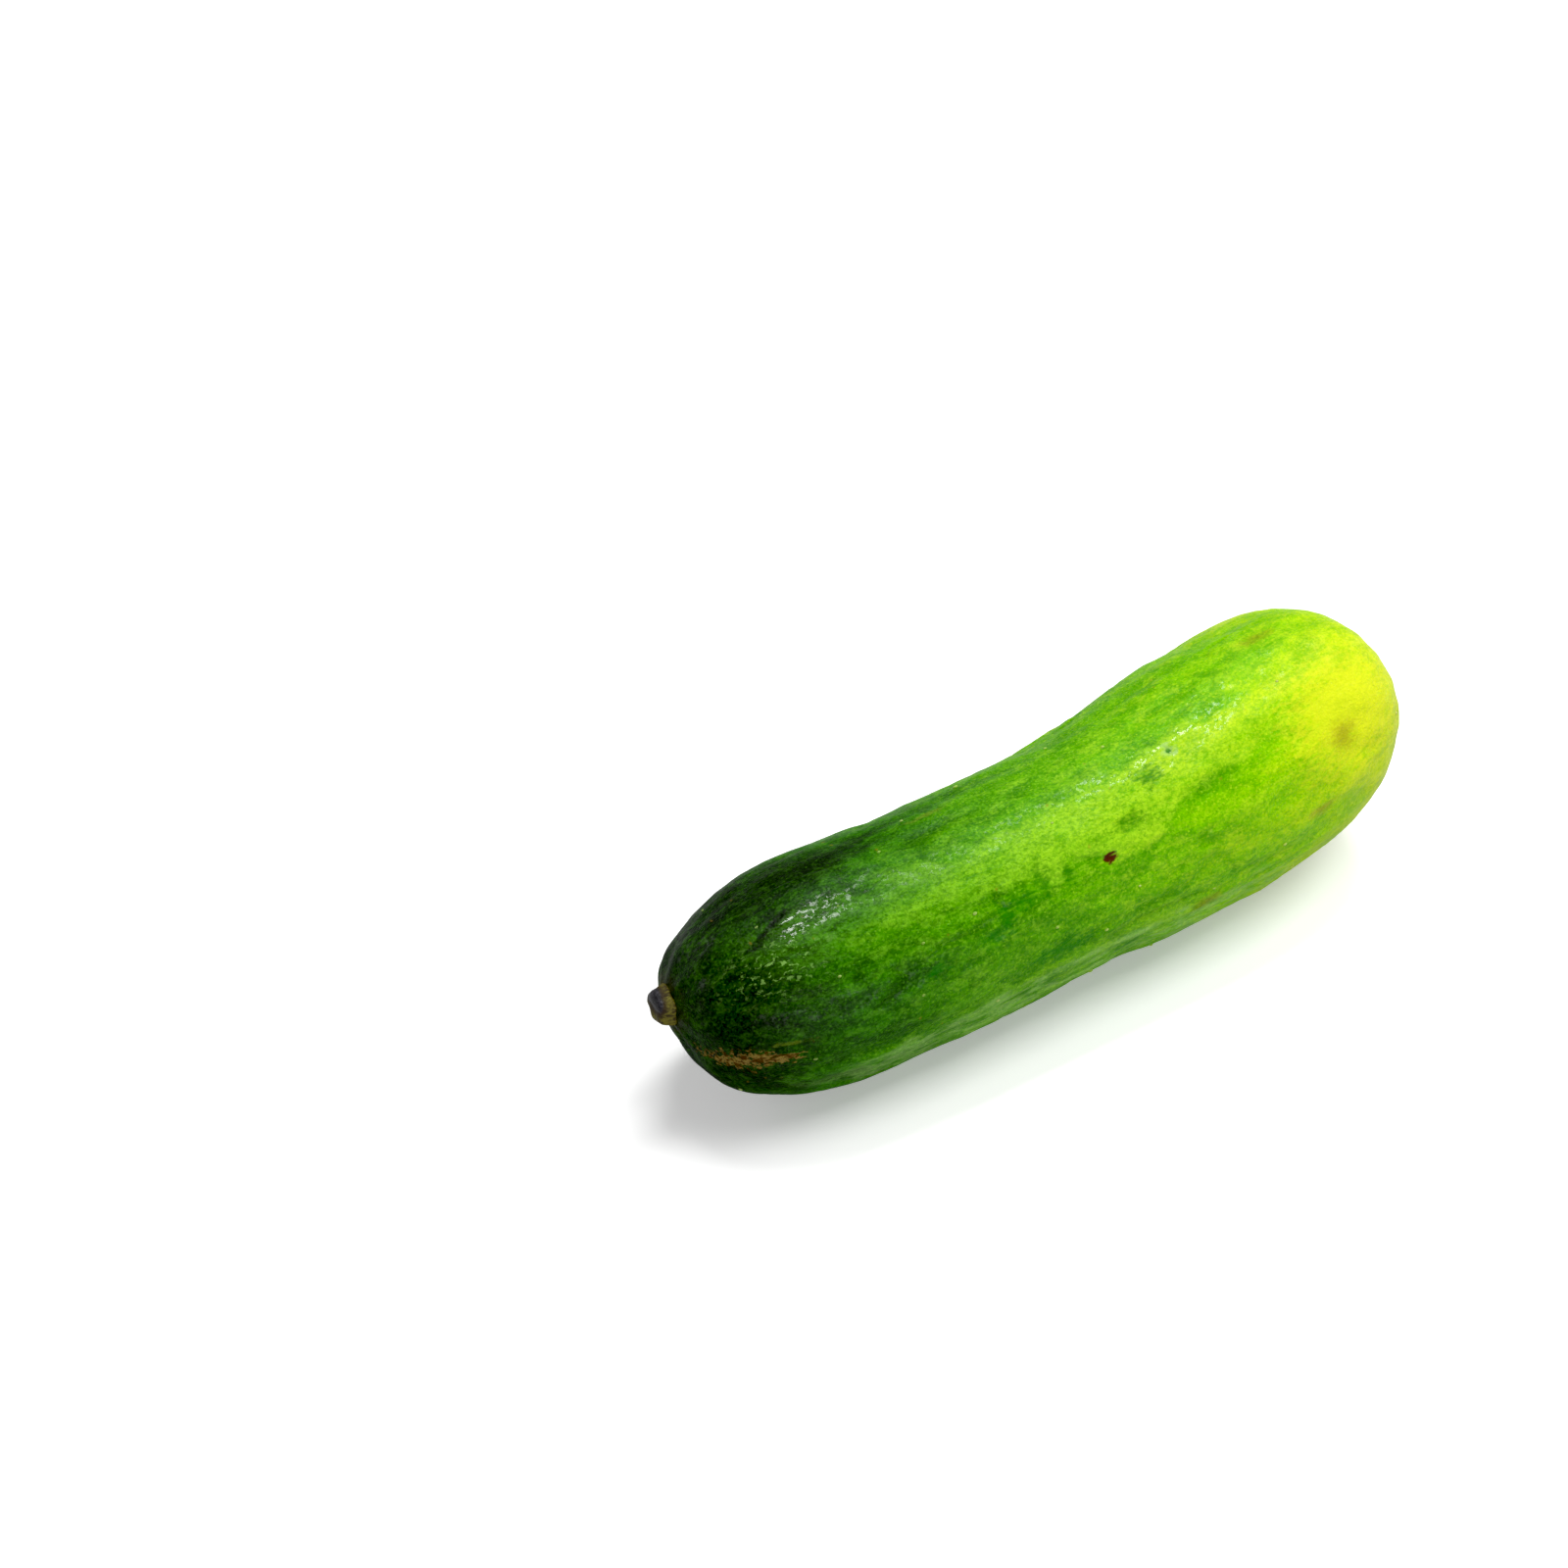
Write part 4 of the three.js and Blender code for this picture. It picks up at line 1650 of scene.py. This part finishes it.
        # Dark green blotches, partly painted shade in the dents below the pale rib.
        shade = patch(MarkKind.SHADE, 1.1, 0.8)
        colour = sheet.lay(colour, tint(self.shade), shade, strength=0.74)
        stain = patch(MarkKind.STAIN, 0.7, 0.9)
        colour = sheet.lay(colour, tint(self.stain), stain, strength=0.34)
        rot = patch(MarkKind.STAIN, 0.5, 0.95)
        colour = sheet.lay(colour, tint(self.stain_core), rot, strength=0.2)
        crater = patch(MarkKind.CRATER, 0.8, 0.5)
        colour = sheet.lay(colour, tint(self.bloom), crater, strength=0.7)
        from_crater = sheet.attribute(MarkKind.CRATER.name.lower()).outputs["Fac"]
        pit = sheet.spread(from_crater, 0.25, 0.6, 0.85, 0.0)
        colour = sheet.mix(pit, colour, tint(self.shade))
        scar = patch(MarkKind.CORKY_SCAR, 1.5, 0.25)
        crumbs = sheet.group(effects.mottle, Position=position, Length=1.6, Width=0.7, Low=0.42, High=0.60)
        cork = sheet.mix(crumbs.outputs["Mask"], tint(self.cork), tint(self.cork_dark))
        colour = sheet.lay(colour, cork, scar, strength=0.9)
        pale = patch(MarkKind.PALE_SCAR, 0.8, 0.5)
        colour = sheet.lay(colour, tint(self.streak), pale, strength=0.42)
        bite = patch(MarkKind.BITE, 0.5, 0.25)
        colour = sheet.mix(bite, colour, tint(self.bite))
        near_stalk = sheet.attribute("collar").outputs["Fac"]
        fibres = sheet.group(effects.streaks, Position=position, Length=3.0, Width=1.0, Fineness=0.12)
        olive = sheet.mix(fibres.outputs["Mask"], tint(self.collar), tint(self.collar_light))
        colour = sheet.lay(colour, olive, near_stalk, strength=0.8)
        nub = sheet.spread(sheet.attribute("nub").outputs["Fac"], 0.35, 0.65)
        colour = sheet.mix(nub, colour, cork)
        streak_cork = sheet.math("MULTIPLY", pale, 0.6)
        corky = sheet.math("MAXIMUM", sheet.math("MAXIMUM", scar, nub), streak_cork)
        return colour, corky


@dataclass(frozen=True)
class WartFinish:
    """Pale, waxy green of the spine bases."""

    length: float
    run: tuple[tuple[float, str], ...] = (
        (0, "3c6020"),
        (50, "7ca838"),
        (100, "a0c444"),
        (150, "b8b850"),
    )
    tip: str = "b8c47c"

    def dress(self, piece: bpy.types.Object, effects: SurfaceEffects) -> None:
        """Makes the material and gives it to the piece.

        Args:
            piece: The spine bases.
            effects: The shared node groups.
        """
        sheet, shader, position = start_material(piece, "spine_base")
        along = sheet.feed(sheet.add("SeparateXYZ"), Vector=position).outputs[0]
        colour = sheet.ramp(sheet.math("DIVIDE", along, self.length), self.run, self.length)
        paler = sheet.group(effects.mottle, Position=position, Length=0.5, Width=0.5, Low=0.45, High=0.6)
        share = sheet.math("MULTIPLY", paler.outputs["Mask"], 0.6)
        sheet.feed(shader, Base_Color=sheet.mix(share, colour, tint(self.tip)))
        sheet.feed(shader, Roughness=0.5, Specular_IOR_Level=0.35)
        fine = sheet.group(effects.grain, Position=position, Cell=0.3, Pebbles=0.6)
        bump = sheet.add("Bump")
        sheet.feed(bump, Strength=0.5, Distance=0.00005, Height=fine.outputs["Height"])
        sheet.feed(shader, Normal=bump.outputs[0])


@dataclass(frozen=True)
class StubFinish:
    """Dried stalk: brown and olive sides, and a dark, rounded end.

    The rises say how far up the stub the dark ring and the dark end begin and are full.
    """

    side: str = "6a6420"
    side_dark: str = "33280e"
    side_light: str = "9c9a30"
    ring: str = "2a1a0c"
    top: str = "151318"
    top_light: str = "2d2a31"
    ring_rise: tuple[float, float] = (0.50, 0.78)
    end_rise: tuple[float, float] = (0.74, 0.94)

    def dress(self, piece: bpy.types.Object, effects: SurfaceEffects) -> None:
        """Makes the material and gives it to the piece.

        Args:
            piece: The stub.
            effects: The shared node groups.
        """
        sheet, shader, position = start_material(piece, "dry_stalk")
        rise = sheet.attribute(CREST).outputs["Fac"]
        bark = sheet.group(effects.mottle, Position=position, Length=1.6, Width=0.7, Low=0.40, High=0.62)
        colour = sheet.mix(bark.outputs["Mask"], tint(self.side), tint(self.side_dark))
        fibres = sheet.group(effects.streaks, Position=position, Length=4.0, Width=0.6, Fineness=0.09)
        share = sheet.math("MULTIPLY", fibres.outputs["Mask"], 0.8)
        colour = sheet.mix(share, colour, tint(self.side_light))
        colour = sheet.mix(sheet.spread(rise, *self.ring_rise, 0.0, 0.85), colour, tint(self.ring))
        spots = sheet.group(effects.mottle, Position=position, Length=0.9, Width=0.9, Low=0.45, High=0.65)
        top = sheet.mix(spots.outputs["Mask"], tint(self.top), tint(self.top_light))
        end = sheet.spread(rise, *self.end_rise)
        colour = sheet.mix(end, colour, top)
        sheet.feed(shader, Base_Color=colour, Roughness=sheet.spread(end, 0.0, 1.0, 0.62, 0.36))
        sheet.feed(shader, Specular_IOR_Level=0.4)
        fine = sheet.group(effects.grain, Position=position, Cell=0.35, Pebbles=0.9)
        bump = sheet.add("Bump")
        sheet.feed(bump, Strength=0.8, Distance=0.00012, Height=fine.outputs["Height"])
        sheet.feed(shader, Normal=bump.outputs[0])


def start_material(
    piece: bpy.types.Object, name: str
) -> tuple[NodeSheet, bpy.types.Node, bpy.types.NodeSocket]:
    """Makes a material and gives it to the piece.

    Args:
        piece: The piece that wears it.
        name: The material's name.

    Returns:
        Its node sheet, its Principled shader and the straightened position.
    """
    material = bpy.data.materials.new(name)
    material.use_nodes = True
    piece.data.materials.clear()
    piece.data.materials.append(material)
    sheet = NodeSheet(material.node_tree)
    shader = material.node_tree.nodes["Principled BSDF"]
    return sheet, shader, sheet.attribute(STRAIGHT).outputs["Vector"]


@dataclass
class Studio:
    """Pale floor, soft lights and the camera. Places are in metres."""

    floor_size: float = 30.0
    floor_tint: Colour = (0.95, 0.95, 0.95, 1.0)
    floor_bounce: Colour = (0.45, 0.45, 0.45, 1.0)
    floor_glow_near: float = 0.30
    floor_near: float = 0.25
    floor_far: float = 1.1
    sky: float = 0.15
    backdrop: float = 1.0
    black: float = 0.012
    camera_place: tuple[float, float, float] = (-0.32711, -0.37348, 0.42864)
    camera_aim: tuple[float, float, float] = (-0.02990, 0.03274, 0.03111)
    lens: float = 85.0
    sensor: float = 36.0
    lights_aim: tuple[float, float, float] = (0.0, 0.0, 0.02)
    key_way: tuple[float, float, float] = (0.456, -0.244, 0.857)
    key_distance: float = 0.9
    key_size: tuple[float, float] = (1.0, 0.45)
    key_power: float = 5.8
    strip_way: tuple[float, float, float] = (0.25, 0.21, 0.94)
    strip_size: tuple[float, float] = (0.62, 0.17)
    strip_power: float = 5.6
    fill_place: tuple[float, float, float] = (-0.25, -0.95, 0.16)
    fill_size: tuple[float, float] = (1.3, 0.28)
    fill_power: float = 5.1
    back_place: tuple[float, float, float] = (-0.72, 0.72, 0.38)
    back_power: float = 3.0

    def lay_floor(self) -> None:
        """Makes the floor just under the fruit."""
        half = self.floor_size / 2
        mesh = bpy.data.meshes.new("floor")
        corners = [(-half, -half, 0.0), (half, -half, 0.0), (half, half, 0.0), (-half, half, 0.0)]
        mesh.from_pydata(corners, [], [(0, 1, 2, 3)])
        floor = bpy.data.objects.new("floor", mesh)
        bpy.context.scene.collection.objects.link(floor)
        material = bpy.data.materials.new("floor")
        material.use_nodes = True
        mesh.materials.append(material)
        sheet = NodeSheet(material.node_tree)
        shader = material.node_tree.nodes["Principled BSDF"]
        seen = sheet.add("LightPath").outputs["Is Camera Ray"]
        sheet.feed(shader, Base_Color=sheet.mix(seen, self.floor_bounce, self.floor_tint))
        sheet.feed(shader, Roughness=0.9, Specular_IOR_Level=0.1, Emission_Color=self.floor_tint)
        # Seen by the camera the floor glows: faintly near the fruit, which lightens its shadow, and fully
        # far off, where it turns into the white backdrop.
        away = sheet.vector("LENGTH", sheet.add("NewGeometry").outputs["Position"]).outputs["Value"]
        lift = sheet.spread(away, self.floor_near, self.floor_far, self.floor_glow_near, self.backdrop)
        sheet.feed(shader, Emission_Strength=sheet.math("MULTIPLY", seen, lift))

    def hang_light(
        self, name: str, place: Vector, size: tuple[float, float], power: float, gloss: bool = True
    ) -> None:
        """Hangs a soft rectangular light that faces the fruit.

        Args:
            name: The light's name.
            place: Where it hangs.
            size: Its width along X and its depth.
            power: Its power in watts.
            gloss: True if it shows in reflections.
        """
        data = bpy.data.lights.new(name, "AREA")
        data.shape = "RECTANGLE"
        data.size, data.size_y = size
        data.energy = power
        light = bpy.data.objects.new(name, data)
        bpy.context.scene.collection.objects.link(light)
        light.location = place
        light.visible_glossy = gloss
        back = (place - Vector(self.lights_aim)).normalized()
        side = Vector((1.0, 0.0, 0.0))
        side = (side - back * side.dot(back)).normalized()
        light.rotation_mode = "QUATERNION"
        light.rotation_quaternion = Matrix((side, back.cross(side), back)).transposed().to_quaternion()

    def light(self) -> None:
        """Sets the even surroundings, the softbox, the strip that glints, and the fills."""
        view = bpy.context.scene.view_settings
        view.view_transform = "Standard"
        view.use_curve_mapping = True
        view.curve_mapping.black_level = (self.black,) * 3
        view.curve_mapping.update()
        world = bpy.data.worlds.new("studio")
        world.use_nodes = True
        sheet = NodeSheet(world.node_tree)
        seen = sheet.add("LightPath").outputs["Is Camera Ray"]
        strength = sheet.spread(seen, 0.0, 1.0, self.sky, self.backdrop)
        sheet.feed(world.node_tree.nodes["Background"], Color=(1.0, 1.0, 1.0, 1.0), Strength=strength)
        bpy.context.scene.world = world
        key = Vector(self.key_way).normalized() * self.key_distance
        strip = Vector(self.strip_way).normalized() * self.key_distance
        self.hang_light("softbox", key, self.key_size, self.key_power, gloss=False)
        self.hang_light("strip", strip, self.strip_size, self.strip_power)
        self.hang_light("fill", Vector(self.fill_place), self.fill_size, self.fill_power)
        self.hang_light("back_fill", Vector(self.back_place), self.fill_size, self.back_power)

    def set_camera(self) -> None:
        """Places the camera."""
        data = bpy.data.cameras.new("camera")
        data.lens = self.lens
        data.sensor_width = self.sensor
        camera = bpy.data.objects.new("camera", data)
        bpy.context.scene.collection.objects.link(camera)
        camera.location = self.camera_place
        aim = Vector(self.camera_aim) - Vector(self.camera_place)
        camera.rotation_mode = "QUATERNION"
        camera.rotation_quaternion = aim.to_track_quat("-Z", "Y")
        bpy.context.scene.camera = camera


def neck_middle(axis: CurvedAxis, stub: bpy.types.Object) -> np.ndarray:
    """Finds where the stalk meets the neck.

    Args:
        axis: The fruit's curved axis.
        stub: The frame's stub.

    Returns:
        The middle of the stub's seat, straightened, in millimetres.
    """
    straight = axis.straighten(mesh_points(stub))
    middle = (straight.max(0) + straight.min(0)) / 2
    middle[0] = straight[:, 0].max()
    return middle


@dataclass(frozen=True)
class PaleBand:
    """A pale band along the skin, with the rows station, middle angle, half width, strength."""

    rows: tuple[tuple[float, float, float, float], ...]
    edge: float = 2.5
    ragged: float = 7.0
    ragged_cell: Cell = (7.0, 3.2, 3.2)
    fine_share: float = 0.4
    fine_cell: Cell = (2.6, 1.3, 1.3)
    shade_strip_width: float = 9.0
    shade_strip_cell: Cell = (9, 5, 5)
    fine_seed: int = 20
    shade_strip_seed: int = 40

    def inside(self, straight: np.ndarray, seed: int) -> np.ndarray:
        """Measures how far each point lies inside the band's ragged edge.

        Args:
            straight: Straightened points of the skin, in millimetres.
            seed: Seed of its ragged edges.

        Returns:
            Degrees inside the edge, negative outside it.
        """
        stations, middles, halves, _ = zip(*self.rows)
        station = straight[:, 0]
        turn = np.abs(turn_from(straight, np.interp(station, stations, middles)))
        turn += self.ragged * SmoothNoise(seed).at(straight, self.ragged_cell)
        fine = SmoothNoise(seed + self.fine_seed).at(straight, self.fine_cell)
        turn += self.fine_share * self.ragged * fine
        return np.interp(station, stations, halves) - turn

    def share(self, straight: np.ndarray, seed: int) -> np.ndarray:
        """How pale the band makes each point.

        Args:
            straight: Straightened points of the skin, in millimetres.
            seed: Seed of its ragged edges.

        Returns:
            From 0, outside the band, to its strength.
        """
        stations, _, _, strengths = zip(*self.rows)
        inside = smooth(self.inside(straight, seed), -self.edge, self.edge)
        return inside * np.interp(straight[:, 0], stations, strengths)

    def painted_shade_strip(self, straight: np.ndarray, seed: int) -> np.ndarray:
        """How strongly each point lies in the strip just outside the band, which is painted darker as
        shade below its edge.

        Args:
            straight: Straightened points of the skin, in millimetres.
            seed: Seed of its ragged edges.

        Returns:
            From 0 to the band's strength.
        """
        stations, _, _, strengths = zip(*self.rows)
        inside = self.inside(straight, seed)
        strip = smooth(inside, -self.shade_strip_width, -self.edge) * smooth(-inside, -self.edge, self.edge)
        broken = smooth(SmoothNoise(seed + self.shade_strip_seed).at(straight, self.shade_strip_cell), -0.2, 0.4)
        return strip * broken * np.interp(straight[:, 0], stations, strengths)


@dataclass(frozen=True)
class PaleBands:
    """Where ribs are pale green, the main one partly as a painted highlight, with painted shade in the
    strip beside them, and where a waxy film lies on the skin, along the lower side partly as a painted
    reflection.
    """

    seed: int = Seed.BANDS
    ribs: tuple[PaleBand, ...] = (
        PaleBand(
            (
                (8, 120, 6, 0.0),
                (18, 116, 11, 0.75),
                (40, 115, 11, 0.70),
                (55, 120, 11, 0.75),
                (70, 124, 14, 0.85),
                (82, 128, 16, 0.80),
                (92, 118, 13, 0.85),
                (108, 116, 13, 0.65),
                (125, 118, 12, 0.0),
            )
        ),
        PaleBand(((40, 186, 4, 0.0), (55, 186, 5, 0.5), (82, 187, 6, 0.5), (100, 190, 5, 0.0))),
        PaleBand(((35, 258, 6, 0.0), (60, 260, 9, 0.6), (90, 262, 9, 0.5), (118, 262, 6, 0.0))),
        PaleBand(((25, 338, 5, 0.0), (50, 336, 8, 0.6), (85, 338, 9, 0.6), (110, 338, 6, 0.0))),
        PaleBand(((20, 28, 5, 0.0), (48, 26, 8, 0.5), (90, 28, 8, 0.5), (112, 28, 6, 0.0))),
    )
    # The band along the lower side is partly a painted reflection, the others are waxy bloom.
    wax_film_and_painted_reflection: tuple[PaleBand, ...] = (
        PaleBand(
            (
                (12, 204, 6, 0.0),
                (30, 203, 9, 0.6),
                (90, 204, 11, 0.7),
                (125, 206, 9, 0.35),
                (145, 206, 8, 0.0),
            )
        ),
        PaleBand(((30, 300, 6, 0.0), (50, 300, 9, 0.3), (100, 302, 9, 0.3), (130, 302, 8, 0.0))),
        PaleBand(((40, 10, 6, 0.0), (60, 8, 8, 0.2), (104, 10, 8, 0.2), (128, 10, 8, 0.0))),
    )

    def strongest(self, bands: tuple[PaleBand, ...], straight: np.ndarray) -> np.ndarray:
        """Returns the strongest share that any of the bands gives each point."""
        shares = [band.share(straight, seed) for seed, band in enumerate(bands, self.seed)]
        return np.max(shares, axis=0)

    def painted_shade_strips(self, straight: np.ndarray) -> np.ndarray:
        """Returns how strongly each point lies in the strip beside a rib that is painted darker as shade.
        """
        shares = [band.painted_shade_strip(straight, seed) for seed, band in enumerate(self.ribs, self.seed)]
        return np.max(shares, axis=0)


@dataclass(frozen=True)
class Spot:
    """A soft round spot on the skin: its place, and its reach along and round the fruit.

    station and along are in millimetres, angle and around in degrees.
    """

    station: float
    angle: float
    along: float
    around: float

    def share(self, straight: np.ndarray) -> np.ndarray:
        """Returns 1 for points in the spot's middle, falling to 0 outside it."""
        away = ((straight[:, 0] - self.station) / self.along) ** 2
        return np.exp(-away - (turn_from(straight, self.angle) / self.around) ** 2)


@dataclass
class SkinMasks:
    """What the skin's finish reads from its vertices."""

    length: float
    neck: np.ndarray
    painted_shade_shift: float = 22.0
    collar_reach: tuple[float, float] = (2.6, 7.0)
    damp: float = 0.14
    wetness: float = 0.85
    wet_spots: tuple[Spot, ...] = (Spot(19, 107, 9, 14), Spot(93, 102, 13, 15))
    crumb_spot: Spot = Spot(14.5, 124, 8, 14)
    nub_radius: float = 2.0

    def store(self, skin: bpy.types.Object) -> None:
        """Stores one value per vertex for each mask.

        Args:
            skin: The skin, with its straightened positions.
        """
        flat = np.empty(3 * len(skin.data.vertices), dtype=np.float32)
        skin.data.attributes[STRAIGHT].data.foreach_get("vector", flat)
        straight = flat.reshape(-1, 3).astype(float)
        bands = PaleBands()
        # Painted shade: the tone is pulled darker in the strip beside each rib.
        tone = Ripeness().tone(straight, self.length) - self.painted_shade_shift * bands.painted_shade_strips(straight)
        wet = self.damp + self.wetness * sum(spot.share(straight) for spot in self.wet_spots)
        reach = np.linalg.norm(straight - self.neck, axis=1)
        near, far = self.collar_reach
        end = smooth(straight[:, 0], 0.9 * self.length, 0.97 * self.length)
        core = np.hypot(straight[:, 1], straight[:, 2]) / self.nub_radius
        store_values(skin, "tone", np.maximum(tone, 0))
        store_values(skin, "pale_rib_and_painted_highlight", bands.strongest(bands.ribs, straight))
        store_values(skin, "wax_film_and_painted_reflection", bands.strongest(bands.wax_film_and_painted_reflection, straight))
        store_values(skin, "collar", smooth(-reach, -far, -near))
        store_values(skin, "wet", np.minimum(wet, 1.0))
        store_values(skin, "crumbs", self.crumb_spot.share(straight))
        store_values(skin, "nub", end * np.exp(-(core**2)))
        for kind in MarkKind:
            store_values(skin, kind.name.lower(), mark_distance(straight, kind, SKIN_MARKS))


@dataclass
class Cucumber:
    """The whole fruit: skin, spine bases and the stub of the stalk."""

    fruit_node: bpy.types.Object
    stub_node: bpy.types.Object

    def build(self) -> list[bpy.types.Object]:
        """Builds and dresses the pieces.

        Returns:
            The pieces, in the order they were made.
        """
        effects = SurfaceEffects()
        axis = CurvedAxis.measured(self.fruit_node)
        surface = FruitSkin(axis, neck_middle(axis, self.stub_node))
        surface.survey(self.fruit_node)
        relief = SkinRelief(surface.length)
        skin = surface.build(self.fruit_node, relief)
        straight = axis.straighten(mesh_points(self.fruit_node))
        LOG.info("fruit is %.1f mm along its axis, bent to %.0f mm", straight[:, 0].max(), axis.radius)
        SkinMasks(surface.length, surface.neck).store(skin)
        SkinFinish(surface.length).dress(skin, effects)
        warts = SpineBases().build(skin, axis)
        WartFinish(surface.length).dress(warts, effects)
        stub = StalkStub(axis).build(self.stub_node)
        StubFinish().dress(stub, effects)
        return [skin, warts, stub]


def main() -> None:
    """Loads the frame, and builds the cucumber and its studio."""
    logging.basicConfig(level=logging.INFO, format="%(name)s: %(message)s")
    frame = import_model()
    studio = Studio()
    studio.set_camera()
    studio.light()
    studio.lay_floor()
    cucumber = Cucumber(frame["nodes"]["fruit"], frame["nodes"]["stalk_stub"])
    for piece in cucumber.build():
        LOG.info("%s: %d faces", piece.name, len(piece.data.polygons))


if __name__ == "__main__":
    main()
